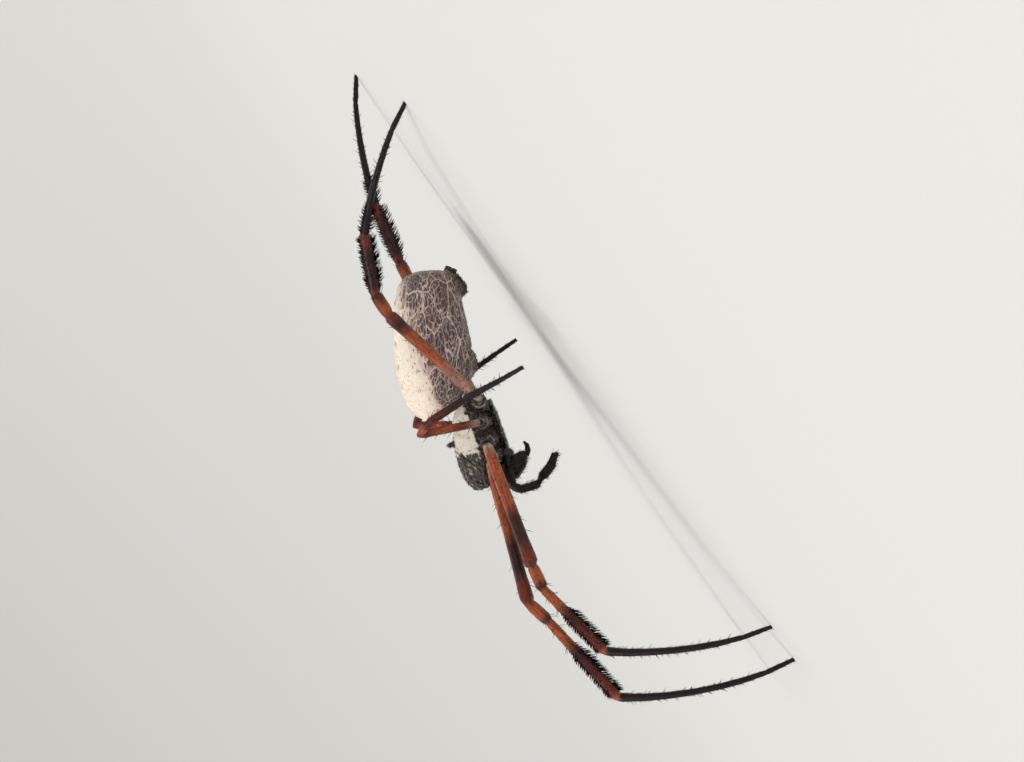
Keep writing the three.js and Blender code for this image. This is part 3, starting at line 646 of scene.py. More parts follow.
def net_lines(tree, places, cell_size, half_width, soft):
    """Lines along the edges of cells of a real size, one on a line and nought inside a cell."""
    inputs = {"Vector": places, "Scale": 1 / cell_size}
    cells = add_node(tree, "ShaderNodeTexVoronoi", {"feature": "DISTANCE_TO_EDGE"}, inputs)
    return ramped(tree, reckon(tree, "SUBTRACT", half_width, cells.outputs["Distance"]), -soft, soft)


def abdomen_colour(tree):
    """The net of cream lines over purple-brown cells, opening to silvery cream on the back."""
    back = read_value(tree, "back")
    flank = object_places(tree, ABDOMEN_PITCH, (1.0, 0.34, 1.0))
    centred = vectors(tree, "SUBTRACT", speckle(tree, flank, 1.1 * MM, 2.0, 1), (0.5,) * 3)
    bent = vectors(tree, "ADD", flank, vectors(tree, "SCALE", centred, 0.7 * MM))
    width = plus(tree, times(tree, back, 0.34), 0.06)
    fine = net_lines(tree, bent, 0.46 * MM, width, 0.055)
    veins = net_lines(tree, bent, 2.3 * MM, 0.022, 0.014)
    patchy = ramped(tree, speckle(tree, flank, 1.3 * MM, 2.0), 0.3, 0.7)
    strength = reckon(tree, "MAXIMUM", plus(tree, times(tree, patchy, 0.6), 0.3), back)
    net = reckon(tree, "MAXIMUM", times(tree, fine, strength), times(tree, veins, 0.85))
    tone = ramped(tree, speckle(tree, flank, 0.8 * MM, 3.0), 0.3, 0.7)
    shade = mixed(tree, tone, "cell_dark", "cell")
    deep = mixed(tree, times(tree, read_value(tree, "low"), 0.7), shade, "cell_dark")
    cell = mixed(tree, times(tree, back, 0.8), deep, "blush")
    line = mixed(tree, ramped(tree, back, 0.15, 0.7), "vein", "silver")
    netted = mixed(tree, net, cell, line)
    pits = mixed(tree, read_value(tree, "pit"), netted, "cell_dark")
    worn = ramped(tree, speckle(tree, flank, 0.8 * MM), 0.4, 0.7)
    bare = mixed(tree, worn, "shell_brown", "gold")
    soot = mixed(tree, ramped(tree, speckle(tree, flank, 1.4 * MM), 0.42, 0.7), bare, "shell_brown")
    return mixed(tree, read_value(tree, "dark"), pits, soot), net


def abdomen_hide():
    """Abdomen: soft leathery skin over silvery fat bodies, with a low sheen and fine wrinkles."""
    tree, shader = new_material("abdomen_hide", 0.5, sheen=0.15)
    colour, net = abdomen_colour(tree)
    wrinkle = speckle(tree, object_places(tree, ABDOMEN_PITCH, (1, 0.6, 1)), 0.25 * MM, 4.0)
    height = plus(tree, times(tree, net, 0.6), times(tree, wrinkle, 0.6))
    cover(tree, shader, colour, height, 0.08 * MM)


def abdomen_down():
    """Down on the abdomen: short silky hair that takes the colour of the skin below it."""
    tree, shader = new_material("abdomen_down", 0.45, sheen=0.3)
    colour, _ = abdomen_colour(tree)
    cover(tree, shader, colour)


def painted_floor():
    """Floor: smooth matt painted board, pale and plain with a barely visible tooth."""
    tree, shader = new_material("painted_floor", 0.85, specular=0.2)
    places = object_places(tree)
    tooth = ramped(tree, speckle(tree, places, 6 * MM), 0.2, 0.8)
    colour = mixed(tree, times(tree, tooth, 0.02), "floor", linear("#d8d6d2"))
    cover(tree, shader, colour)


FINISHES = {maker.__name__: maker for maker in (
    leg_chitin, bristle, jaw_chitin, eye_lens, shield_shell, abdomen_hide, abdomen_down, painted_floor,
)}


def material(name):
    """A finish by the name of its function, made once."""
    if name not in bpy.data.materials:
        FINISHES[name]()
    return bpy.data.materials[name]


def settle(piece, slot, finish, *nodes):
    """Gives a finished piece its material and its body, and hides what it stands for."""
    piece.data.materials.clear()
    piece.data.materials.append(material(finish))
    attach(piece, "root")
    if nodes:
        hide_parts(*nodes)


# Legs

LEG_PIECES = ("femur", "patella", "tibia", "metatarsus", "tarsus")
# Shape of a piece along its length: drawn in at its joints, with a collar at its far end.
PIECE_SHAPES = {
    "femur": (
        (0, 0.02, 0.05, 0.2, 0.5, 0.8, 0.93, 0.975, 1),
        (0.72, 0.9, 1, 1.03, 1, 0.98, 1.08, 1.06, 0.74),
    ),
    "patella": ((0, 0.12, 0.3, 0.6, 0.85, 1), (0.74, 0.95, 1.05, 1.04, 1.02, 0.74)),
    "tibia": ((0, 0.03, 0.08, 0.45, 0.8, 0.95, 0.985, 1), (0.78, 1, 1.03, 1.1, 1.04, 1.03, 1, 0.7)),
    "metatarsus": ((0, 0.02, 0.06, 0.3, 0.9, 0.99, 1), (0.8, 1.1, 1.05, 0.98, 1, 1.02, 0.86)),
    "tarsus": ((0, 0.06, 0.5, 0.9, 1), (0.9, 1.02, 1, 0.92, 0.9)),
}
# Colours along each piece, from the body outward, as places on it and names of colours.
LEG_TINTS = {
    "front": {
        "femur": ((0, "shell_brown"), (0.02, "coat_grey"), (0.05, "pale_orange"), (0.14, "orange"),
                  (0.5, "orange"), (0.62, "dark_brown"), (0.8, "dark_brown"), (0.9, "red_brown")),
        "patella": ((0, "dark_brown"), (0.25, "orange"), (0.7, "orange"), (1, "dark_brown")),
        "tibia": ((0, "dark_brown"), (0.06, "orange"), (0.28, "orange"), (0.42, "dark_red"),
                  (0.86, "red_brown"), (0.97, "red_brown"), (1, "orange")),
        "metatarsus": ((0, "dark_red"), (0.04, "black")),
        "tarsus": ((0, "black"),),
    },
    "third": {
        "femur": ((0, "shell_brown"), (0.03, "coat_grey"), (0.1, "pale_orange"), (0.3, "red_brown"),
                  (0.6, "orange"), (1, "red_brown")),
        "patella": ((0, "red_brown"), (0.5, "orange"), (1, "dark_brown")),
        "tibia": ((0, "red_brown"), (0.6, "dark_brown"), (1, "dark_red")),
        "metatarsus": ((0, "dark_red"), (0.08, "black")),
        "tarsus": ((0, "black"),),
    },
    "rear": {
        "femur": ((0, "coat_grey"), (0.08, "pale_orange"), (0.3, "pale_orange"), (0.5, "orange"),
                  (0.75, "orange"), (0.9, "dark_brown"), (1, "red_brown")),
        "patella": ((0, "red_brown"), (0.4, "orange"), (0.75, "red_brown"), (1, "dark_brown")),
        "tibia": ((0.06, "red_brown"), (0.14, "dark_red"), (0.75, "dark_red"), (0.9, "red_brown")),
        "metatarsus": ((0, "dark_red"), (0.05, "black")),
        "tarsus": ((0, "black"),),
    },
}
TINT_GROUP = {1: "front", 2: "front", 3: "third", 4: "rear"}
INSIDE = 0.95  # the skin's share of the solids' width
RING_SPACING = 0.55 * MM
RING_SIDES = 14
RING_GAP = 0.1 * MM
BEND_ROOM = 1.4  # rings keep this much clear of a bend, so that they don't cross
HIP_DEPTH = 0.5 * MM  # how far the skin starts inside the trochanter


def tint_along(pair, piece, share):
    """The shell's colour at a share of a piece's length."""
    places, names = zip(*LEG_TINTS[TINT_GROUP[pair]][piece])
    tones = np.array([getattr(colours(), name)[:] for name in names])
    return [np.interp(share, places, tones[:, i]) for i in range(4)]


class LegLine:
    """The middle line of one leg, piece by piece, measured from its solids."""

    def __init__(self, pair, side):
        tag = f"{pair}_{side}"
        self.pair, self.side = pair, side
        nodes = [f"{piece}_{tag}" for piece in ("coxa", "femur", "patella", "tibia", "foot")]
        points = [solid_points(node) for node in nodes]
        joints = [joint_between(near, far) for near, far in zip(points, points[1:])]
        joints[0] = joint_between(points[0], points[1], 0.75 * MM)
        foot = foot_line(nodes[4], joints[3])
        self.nodes = nodes[1:]
        self.lines = [list(ends) for ends in zip(joints, joints[1:])] + [foot[:-1], foot[-2:]]
        self.widths = []
        for line, solid in zip(self.lines[:3], points[1:4]):
            axis = (line[1] - line[0]).normalized()
            self.widths.append([end_half_width(solid, joint, axis) for joint in line])
        rings = foot_half_widths(points[4], foot)
        self.widths += [[rings[0] / END_NARROWING, rings[-2]], [rings[-2], rings[-1]]]

    def length(self, index):
        line = self.lines[index]
        return sum((b - a).length for a, b in zip(line, line[1:]))

    def at(self, index, share):
        """Place and direction at a share of a piece's length."""
        line = self.lines[index]
        steps = [(b - a).length for a, b in zip(line, line[1:])]
        left = share * sum(steps)
        for i, step in enumerate(steps):
            if left <= step or i == len(steps) - 1:
                local = left / step
                here = (line[i + 1] - line[i]).normalized()
                other = i + 1 if local > 0.5 else i - 1
                if 0 <= other < len(steps):
                    beside = (line[other + 1] - line[other]).normalized()
                    here = here.lerp(beside, abs(local - 0.5)).normalized()
                return line[i].lerp(line[i + 1], local), here
            left -= step

    def half_width(self, index, share):
        near, far = self.widths[index]
        shape = PIECE_SHAPES[LEG_PIECES[index]]
        return (near + (far - near) * share) * np.interp(share, *shape) * INSIDE


def ring_frames(rings):
    """Matrices that put a unit circle square to each ring's axis, without a twist between them."""
    across = rings[0][1].cross(Vector((0, 0, 1)))
    frames = []
    for place, axis, half in rings:
        across = (across - axis * across.dot(axis)).normalized()
        turn = Matrix((across, across.cross(axis), -axis)).transposed().to_4x4()
        frames.append(Matrix.Translation(place) @ turn @ Matrix.Diagonal((half, half, half, 1)))
    return frames


def leg_rings(leg):
    """Rings down a leg as place, direction, half width, piece and share, clear of each bend."""
    rings = []
    for index in range(len(LEG_PIECES)):
        length = leg.length(index)
        count = max(8, round(length / RING_SPACING))
        start_axis = leg.at(index, 0)[1]
        end_axis = leg.at(index, 1)[1]
        before = leg.at(index - 1, 1)[1] if index else start_axis
        after = leg.at(index + 1, 0)[1] if index + 1 < len(LEG_PIECES) else end_axis
        near = leg.half_width(index, 0) * BEND_ROOM * math.tan(before.angle(start_axis) / 2) + RING_GAP
        far = leg.half_width(index, 1) * BEND_ROOM * math.tan(after.angle(end_axis) / 2) + RING_GAP
        for i in range(count + 1):
            share = (1 - math.cos(math.pi * i / count)) / 2 * 0.5 + 0.5 * i / count
            place, axis = leg.at(index, share)
            if share * length < near and i or (1 - share) * length < far and i < count:
                continue
            if i == 0 and index:
                continue
            if i == count:
                axis = (axis + after).normalized()
            rings.append((place, axis, leg.half_width(index, share), index, share))
    return rings


def leg_skin(leg):
    """One closed skin from inside the trochanter to the flat sole of the foot."""
    rings = leg_rings(leg)
    skin = bmesh.new()
    hip, axis, half = rings[0][:3]
    frames = ring_frames([(hip - axis * HIP_DEPTH, axis, half)] + [ring[:3] for ring in rings])
    tint = skin.verts.layers.float_color.new("tint")
    lie = skin.verts.layers.float_vector.new("lie")
    run = 0.0
    bmesh.ops.create_circle(skin, cap_ends=True, segments=RING_SIDES, radius=1.0, matrix=frames[0])
    for corner in skin.verts:
        corner[tint] = tint_along(leg.pair, "femur", 0)
    edges = skin.edges[:]
    for last, here, (_, _, half, index, share) in zip(frames, frames[1:], rings):
        grown = bmesh.ops.extrude_edge_only(skin, edges=edges)["geom"]
        corners = [item for item in grown if isinstance(item, bmesh.types.BMVert)]
        edges = [item for item in grown if isinstance(item, bmesh.types.BMEdge)]
        bmesh.ops.transform(skin, verts=corners, matrix=here @ last.inverted())
        run += (here.translation - last.translation).length
        for corner in corners:
            local = here.inverted() @ corner.co
            corner[tint] = tint_along(leg.pair, LEG_PIECES[index], share)
            corner[lie] = (local.x * half, local.y * half, run)
    bmesh.ops.holes_fill(skin, edges=edges)
    for corner in skin.verts:
        corner.co.z = max(corner.co.z, 0.0)
    bmesh.ops.recalc_face_normals(skin, faces=skin.faces)
    name = f"leg_{leg.pair}_{leg.side}"
    return new_object(name, mesh_from(name, skin))


# What the brushes cover on each pair of legs: the piece of leg, and the shares where they start and end.
BRUSH_SPANS = {1: ((2, 0.36, 0.97),), 2: ((2, 0.36, 0.97),), 4: ((2, 0.05, 0.97), (3, 0.0, 0.3))}
BRUSH_LIFT = 1.35  # tangent of a brush bristle's rise off the shin
BRUSH_ROW = 0.5 * MM  # rows of bristles follow each other this closely
ROW_SCATTER = 0.07  # of the distance between rows
FRINGE_SPREAD = 0.33  # radians off straight up or down
BRUSH_FRINGE = 0.72  # share of the bristles above and below the shin, not beside it
BRUSH_USUAL_SPAN = 9 * MM  # the length of shin that the usual number of bristles covers
ABOVE_SHIN = 0.6  # length of the bristles above the shin against those below it
UNDERFUR = 0.62  # share of a brush that is short hair between the bristles
UNDERFUR_LENGTH = 0.36  # its length against the bristles'
SPINE_WIDTH = 0.12 * MM
ROOT_DEPTH = 0.93  # share of the half width at which hair roots sit
HAIR_PER_MM = (13, 15, 15, 12, 13)  # on each piece of leg, from the femur to the tarsus
HAIR_LIFT = (0.35, 0.4, 0.5, 0.6, 0.5)  # tangent of its rise off each piece
SPINE_TURNS = np.array([0, 2.1, 4.2])  # radians round the leg between three spines
# Shares of each piece's length at which three spines stand.
SPINE_PLACES = {
    "femur": (0.16, 0.3, 0.45, 0.6, 0.74, 0.88),
    "patella": (0.9,),
    "tibia": (0.12, 0.3, 0.9),
    "metatarsus": tuple(i / 16 for i in range(1, 15)),
}


def leg_roots(leg, index, shares, turns):
    """Places, outward directions and directions toward the foot on a piece of leg."""
    roots = []
    for share, turn in zip(shares, turns):
        place, axis = leg.at(index, share)
        across = axis.cross(Vector((0, 0, 1))).normalized()
        out = across * math.cos(turn) + across.cross(axis).normalized() * math.sin(turn)
        roots.append((place + out * leg.half_width(index, share) * ROOT_DEPTH, out, axis))
    return np.array(roots).swapaxes(0, 1)


def leg_unwrap(leg, index, shares, turns):
    """Where a root lies on the legs' own unwrap: one strip for each leg, foot at the top."""
    strip = (leg.pair - 1) * 2 + SIDES.index(leg.side)
    across = (strip + 0.1 + 0.8 * (turns / math.tau % 1)) / 8
    along = (index + np.asarray(shares) * 0.95) / len(LEG_PIECES)
    return np.stack([across, along], axis=1)


def plant(coat, leg, index, shares, turns, lift, lengths, widths, bends):
    """Plants hairs that lean toward the foot, at shares of a piece of leg and turns round it."""
    places, outs, flows = leg_roots(leg, index, shares, turns)
    unwrap = leg_unwrap(leg, index, shares, turns)
    lays = lay_along(outs, flows, lift)
    coat.add((places, outs), lays, lengths, widths, bends, unwrap, colours().coat_black[:])


def comb_leg(leg, coat, draw):
    """Short hair that lies toward the foot over the whole leg."""
    for index, per_mm in enumerate(HAIR_PER_MM):
        count = int(leg.length(index) / MM * per_mm)
        shares = draw.uniform(0.02, 0.97, count)
        turns = draw.uniform(0, math.tau, count)
        lift = HAIR_LIFT[index] * draw.uniform(0.7, 1.4, count)
        lengths = sizes().hair_length * draw.uniform(0.7, 1.3, count)
        plant(coat, leg, index, shares, turns, lift, lengths, sizes().hair_width, 0.1)


def brush_leg(leg, coat, draw):
    """The brush: stiff bristles that stand off the shin all round and lean toward the foot."""
    for index, start, end in BRUSH_SPANS.get(leg.pair, ()):
        on_shin = index == 2
        span = end - start
        share_of_shin = leg.length(index) * span / BRUSH_USUAL_SPAN
        count = int(sizes().brush_bristles * share_of_shin * (1.0 if on_shin else 0.6))
        rows = round(span * leg.length(index) / BRUSH_ROW)
        shares = start + span * (draw.integers(0, rows, count) + draw.normal(0, ROW_SCATTER, count)) / rows
        shares = np.clip(shares, start, end)
        sided = draw.random(count) < BRUSH_FRINGE
        fringe = np.where(draw.random(count) < 0.5, math.pi / 2, -math.pi / 2)
        fringe += draw.normal(0, FRINGE_SPREAD, count)
        turns = np.where(sided, fringe, draw.uniform(0, math.tau, count))
        lift = BRUSH_LIFT * draw.uniform(0.85, 1.15, count)
        taper = np.minimum(1, (shares - start) / span * 5 + 0.35)
        taper *= np.minimum(1, (end - shares) / span * (6 if on_shin else 1.4) + 0.4)
        lengths = sizes().brush_length * draw.uniform(0.8, 1.05, count) * taper
        lengths *= np.where(np.sin(turns) < 0, 1.0, ABOVE_SHIN)
        lengths *= np.where(draw.random(count) < UNDERFUR, UNDERFUR_LENGTH, 1.0)
        widths = sizes().brush_width * draw.uniform(0.8, 1.15, count)
        plant(coat, leg, index, shares, turns, lift, lengths, widths, draw.uniform(0.02, 0.16, count))


def spine_leg(leg, coat, draw):
    """Long single spines in staggered rows."""
    for index, piece in enumerate(LEG_PIECES[:4]):
        scale = 0.6 if piece == "metatarsus" else 0.9
        for share in SPINE_PLACES[piece]:
            turns = draw.uniform(0, math.tau) + SPINE_TURNS
            shares = np.clip(share + draw.uniform(-0.02, 0.02, 3), 0.02, 0.98)
            lift = draw.uniform(0.9, 1.6, 3)
            lengths = sizes().spine_length * scale * draw.uniform(0.7, 1.1, 3)
            plant(coat, leg, index, shares, turns, lift, lengths, SPINE_WIDTH, 0.08)


CLAW_LENGTH = 0.6 * MM
CLAW_WIDTH = 0.15 * MM
CLAW_OFFSET = 0.16 * MM  # off the foot's middle line
CLAW_RISE = 0.25 * MM  # above the sole


def claw_leg(leg, coat):
    """A pair of small claws that curve down at the tip of the foot."""
    tip, axis = leg.at(4, 1.0)
    aside = axis.cross(Vector((0, 0, 1))).normalized() * CLAW_OFFSET
    root = tip + Vector((0, 0, CLAW_RISE))
    outs = np.tile((0.0, 0.0, 1.0), (2, 1))
    lays = lay_along(outs, np.tile(axis[:], (2, 1)), 0.2)
    unwrap = leg_unwrap(leg, 4, np.ones(2), np.array([0, math.pi]))
    places = np.array([root - aside, root + aside])
    coat.add((places, outs), lays, CLAW_LENGTH, CLAW_WIDTH, 0.45, unwrap, colours().coat_black[:])


class WeaverOperator(bpy.types.Operator):
    """Shared manners of the operators here."""

    bl_options = {"REGISTER"}

    def execute(self, context):
        self.build()
        return {"FINISHED"}


class WEAVER_OT_legs(WeaverOperator):
    """Build the eight legs' shells, their brushes, short hair and spines"""

    bl_idname = "weaver.legs"
    bl_label = "Legs"

    def build(self):
        for pair in PAIRS:
            brushes, hairs = Coat(), Coat()
            for order, side in enumerate(SIDES):
                draw = np.random.default_rng(SEED + pair * 2 + order)
                leg = LegLine(pair, side)
                settle(leg_skin(leg), "orange_shell", "leg_chitin", *leg.nodes)
                comb_leg(leg, hairs, draw)
                spine_leg(leg, hairs, draw)
                claw_leg(leg, hairs)
                brush_leg(leg, brushes, draw)
            hairs.settle(f"leg_hair_{pair}", "brush_hair")
            if brushes.rows:
                brushes.settle(f"shin_brushes_{pair}", "brush_hair")


# Head and thorax

PROSOMA_NODES = ["cephalothorax", "sternum", "mouthparts", "pedicel"] + [
    f"coxa_{pair}_{side}" for pair in PAIRS for side in SIDES
]
SHIELD_MAP_LENGTH = 20  # millimetres of body along the bake map
TUBERCLE = (7.3, 1.0)  # forward of the waist and off the midline
FOVEA = 4.9  # the pit in the middle of the thorax, forward of the waist
FOVEA_DEPTH = 0.4
GROOVE_DEPTH = 0.34  # of the edges of the head
RAY_DEPTH = 0.18
RAY_TURNS = (-0.9, -0.25, 0.35)  # radians forward of straight aside, from the pit
HEAD_START = 8.0  # forward of the waist
HEAD_SPREAD = 0.55  # how much further forward the cream reaches for each step off the midline


def near_tubercle(forward, aside, up, reach):
    across = np.hypot(forward - TUBERCLE[0], np.abs(aside) - TUBERCLE[1])
    return (1 - smoothstep(reach * 0.8, reach, across)) * (up > 3)


def near_eyes(places):
    """One in the bare skin round each eye, nought away from it."""
    amount = np.zeros(len(places))
    for name in EYE_NODES:
        middle, radius = middle_and_radius(name)
        away = np.linalg.norm(places - np.array(middle), axis=1) / radius
        amount = np.maximum(amount, 1 - smoothstep(1.6, 2.2, away))
    return amount


def cream_share(places):
    """One on the cream rear of the shield, nought on the head in front of it."""
    forward, aside, _ = in_shield(places)
    edge = HEAD_START + HEAD_SPREAD * np.abs(aside) + 1.4 * grain(places, 1.2 * MM, 1)
    return 1 - smoothstep(-0.5, 0.5, forward - edge)


def felt_amount(places, normals):
    """How densely cream felt covers the shield, from none to full."""
    forward, aside, up = in_shield(places)
    top = smoothstep(0.0, 0.35, normals[:, 2]) * smoothstep(1.2, 1.9, up + 0.5 * grain(places, 0.8 * MM, 5))
    rear = cream_share(places)
    specks = smoothstep(0.34, 0.46, grain(places, 0.5 * MM, 12))
    streaks = smoothstep(0.22, 0.5, grain(places * np.array([2.6, 0.7, 1.0]), 0.8 * MM, 2))
    head = (1 - rear) * streaks * 0.4
    felt = top * np.maximum(rear * (1 - specks), head)
    return np.clip(felt - near_tubercle(forward, aside, up, 0.85) - near_eyes(places), 0, 1)


def carve_shield(mesh):
    """Grooves of the shield: the pit of the thorax, the edges of the head and rays between the legs."""
    places, normals = corners_of(mesh)
    forward, aside, up = in_shield(places)
    top = smoothstep(0.1, 0.5, normals[:, 2]) * smoothstep(1.2, 2.2, up)
    pit = FOVEA_DEPTH * hill(forward - FOVEA, 0.8) * hill(aside, 0.9)
    edge = np.abs(aside) - 0.4 - (forward - FOVEA) * 0.5
    cut = GROOVE_DEPTH * hill(edge, 0.35) * smoothstep(FOVEA, FOVEA + 1.2, forward)
    cut *= 1 - smoothstep(11.5, 13.5, forward)
    reach = np.hypot(forward - FOVEA, aside)
    angle = np.arctan2(forward - FOVEA, np.abs(aside))
    ray = sum(hill(angle - turn, 0.1) for turn in RAY_TURNS)
    ray *= RAY_DEPTH * smoothstep(1.2, 2.4, reach) * (1 - smoothstep(4.2, 5.0, reach))
    lumps = 0.05 * grain(places, 0.9 * MM, 4) + 0.14 * (1 - top) * grain(places, 1.7 * MM, 14)
    move_out(mesh, (-(pit + cut + ray) * top * (1 - near_tubercle(forward, aside, up, 1.1)) + lumps) * MM)


def plate_gaps(places, nodes):
    """How far each place is from each of several solids, in millimetres, one column for each."""
    gaps = np.empty((len(places), len(nodes)))
    for column, node in enumerate(nodes):
        plate = bmesh.new()
        plate.from_mesh(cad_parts[node].data)
        tree = BVHTree.FromBMesh(plate)
        plate.free()
        gaps[:, column] = [tree.find_nearest(Vector(place))[3] for place in places]
    return gaps / MM


def coxa_rings(places, gaps):
    """Pale rings round each coxa: one near its outer end, one at the trochanter."""
    amount = np.zeros(len(places))
    for column, node in enumerate(PROSOMA_NODES):
        if not node.startswith("coxa"):
            continue
        hip = joint_between(solid_points(node), solid_points(node.replace("coxa", "femur")), 0.75 * MM)
        distance = np.linalg.norm(places - np.array(hip), axis=1) / MM
        own = gaps[:, column] <= gaps.min(axis=1) + 1e-6
        rings = hill(distance - 0.25, 0.22) + 0.9 * hill(distance - 1.75, 0.24)
        amount = np.maximum(amount, own * rings)
    return np.clip(amount, 0, 1)


class WEAVER_OT_prosoma(WeaverOperator):
    """Build the head, thorax, leg roots and breast plate as one skin, with felt and hair"""

    bl_idname = "weaver.prosoma"
    bl_label = "Head and thorax"

    def build(self):
        size = sizes()
        piece = fused_skin("prosoma_skin", PROSOMA_NODES, size.body_voxel, size.closing, 4)
        carve_shield(piece.data)
        places, normals = corners_of(piece.data)
        gaps = plate_gaps(places, PROSOMA_NODES)
        shield = gaps.argmin(axis=1) == 0
        nearest = np.sort(gaps, axis=1)
        seam = 1 - smoothstep(0.12, 0.5, nearest[:, 1] - nearest[:, 0])
        move_out(piece.data, -0.16 * MM * seam)
        paint(piece.data, "felt", felt_amount(places, normals) * shield)
        paint(piece.data, "seam", seam)
        forward, _, up = in_shield(places)
        gilt = np.maximum(smoothstep(8, 9.5, forward), hill(up - 1.7, 0.5))
        paint(piece.data, "gilt", shield * gilt * (1 - near_eyes(places)))
        frost = 0.55 * smoothstep(0.1, 0.55, grain(places * np.array([1, 2.5, 1]), 0.9 * MM, 6)) * ~shield
        paint(piece.data, "ring", np.maximum(coxa_rings(places, gaps), frost))
        settle(piece, "shield_hair", "shield_shell", *PROSOMA_NODES)
        self.felt(piece.data)
        self.underside_hair(piece.data)

    def felt(self, mesh):
        def tints(draw, places):
            worn = (cream_share(places) < 0.5) & (draw.random(len(places)) < 0.6)
            tones = either(worn, colours().gold, colours().coat_cream)
            tones[:, :3] *= draw.uniform(0.85, 1.05, len(places))[:, None]
            return tones

        grow_coat(
            "shield_felt", "shield_hair", mesh, seed=30, count=17000, flow=(0.0, -1.0, 0.25), bend=0.12,
            keep=lambda p, n: felt_amount(p, n) ** 1.5 + RARE, unwrap=self.unwrap, tints=tints,
            wander=0.35, lift=(0.05, 0.2), length=(0.6, 1.15), width=(0.06, 0.1), unit=sizes().felt_length,
        )

    def underside_hair(self, mesh):
        grow_coat(
            "thorax_hair", "dark_shell", mesh, seed=31, count=6000,
            flow=lambda p: p - np.array(SHIELD_MIDDLE), bend=0.15, unwrap=self.unwrap,
            keep=lambda p, n: (felt_amount(p, n) + near_eyes(p) < 0.15) + RARE,
            tints=lambda draw, p: either(
                draw.random(len(p)) < 0.5, colours().coat_grey, colours().coat_black
            ),
            wander=0.002, lift=(0.3, 0.9), length=(0.35, 0.8), width=(0.035, 0.06),
        )

    @staticmethod
    def unwrap(spots):
        return body_unwrap(spots, SHIELD_MIDDLE, PROSOMA_PITCH, SHIELD_MAP_LENGTH)



FANG_HINGE = 0.42 * MM  # radius of the soft hinge between a jaw and its fang
# Each part's mesh size, rounds of smoothing, growth that gives back what they take, and bristles.
JAW_PARTS = {"chelicera": (0.11, 5, 0.03, 150), "fang": (0.06, 2, 0.06, 0), "palp": (0.08, 3, 0.07, 260)}


class WEAVER_OT_jaws(WeaverOperator):
    """Build the jaws, fangs and palps, polished black, with their bristles"""

    bl_idname = "weaver.jaws"
    bl_label = "Jaws and palps"

    def build(self):
        coat = Coat()
        draw = np.random.default_rng(SEED + 40)
        for side in SIDES:
            jaw, fang = (solid_points(f"{name}_{side}") for name in ("chelicera", "fang"))
            hinge = ball(f"fang_hinge_{side}", joint_between(jaw, fang), FANG_HINGE)
            settle(hinge, "jaw_shell", "jaw_chitin")
            for name, (voxel, rounds, growth, bristles) in JAW_PARTS.items():
                node = f"{name}_{side}"
                piece = fused_skin(f"{name}_shell_{side}", [node], voxel * MM, 0.02 * MM, rounds)
                move_out(piece.data, np.full(len(piece.data.vertices), growth * MM))
                settle(piece, "black_shell" if name == "palp" else "jaw_shell", "jaw_chitin", node)
                if bristles:
                    self.bristles(piece.data, bristles, coat, draw)
        coat.settle("jaw_bristles", "black_shell")

    def bristles(self, mesh, count, coat, draw):
        roots, *measures = sprouts(
            mesh, count, draw, (0.0, -0.4, -1.0), everywhere,
            lift=(0.5, 1.3), length=(0.5, 1.2), width=(0.05, 0.085)
        )
        places, outs = roots
        turn = np.arctan2(outs[:, 1], outs[:, 0]) / math.tau + 0.5
        height = (places[:, 2] - places[:, 2].min()) / np.ptp(places[:, 2])
        unwrap = np.stack([0.02 + 0.96 * turn, 0.02 + 0.95 * height], axis=1)
        coat.add(roots, *measures, 0.1, unwrap, colours().coat_black[:])


class WEAVER_OT_eyes(WeaverOperator):
    """Build the eight eyes as smooth lenses in their sockets"""

    bl_idname = "weaver.eyes"
    bl_label = "Eyes"

    def build(self):
        for name in EYE_NODES:
            settle(ball(f"{name}_lens", *middle_and_radius(name)), "eye", "eye_lens", name)


# Abdomen


def back_amount(places):
    """How silvery the abdomen is: full on the back and toward the waist, nought low on the flanks."""
    forward, _, up = in_abdomen(places)
    level = up + 0.26 * forward + 1.3 * grain(places, 2.6 * MM, 3) + 0.6 * grain(places, 0.9 * MM, 13)
    return smoothstep(0.4, 5.4, level) * smoothstep(-12.2, -10.2, forward)


ABDOMEN_MAP_LENGTH = 32
PIT_PLACES = ((7.5, 1.3), (4.0, 1.7), (0.2, 1.8), (-3.6, 1.7), (-6.8, 1.4))
PIT_SIZE = 0.33
PIT_DEPTH = 0.3
FURROW_DEPTH = 0.35  # of the furrow behind the egg pore


def pit_amount(places):
    """Small dark pits in pairs along the back, where muscles pull on the skin."""
    forward, aside, up = in_abdomen(places)
    aways = [np.hypot(forward - along, np.abs(aside) - off) for along, off in PIT_PLACES]
    return np.clip(sum(hill(away, PIT_SIZE) for away in aways) * (up > 0), 0, 1)


def dark_amount(places):
    """Dark bare skin round the spinnerets and over the egg pore."""
    low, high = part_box("spinnerets")
    near_end = 1 - smoothstep(2.2, 3.4, np.linalg.norm(places - np.array((low + high) / 2), axis=1) / MM)
    forward, aside, up = in_abdomen(places)
    plate = hill(forward - 4.2, 1.8) * hill(aside, 3.4) * smoothstep(-4.4, -5.8, up)
    return np.clip(np.maximum(near_end, 0.9 * plate), 0, 1)


def abdomen_amounts(places):
    """What the abdomen's material reads at each place, by the names that it reads."""
    return {
        "back": back_amount(places),
        "low": 1 - smoothstep(-6.5, -1.5, in_abdomen(places)[2]),
        "pit": pit_amount(places),
        "dark": dark_amount(places),
    }


SPINNERETS = 6
SPINNERET_RING = 0.72 * MM  # how far they stand off their common middle
SPINNERET_LENGTH = 1.3 * MM
SPINNERET_ROOT = 0.5 * MM
SPINNERET_TIP = 0.26 * MM


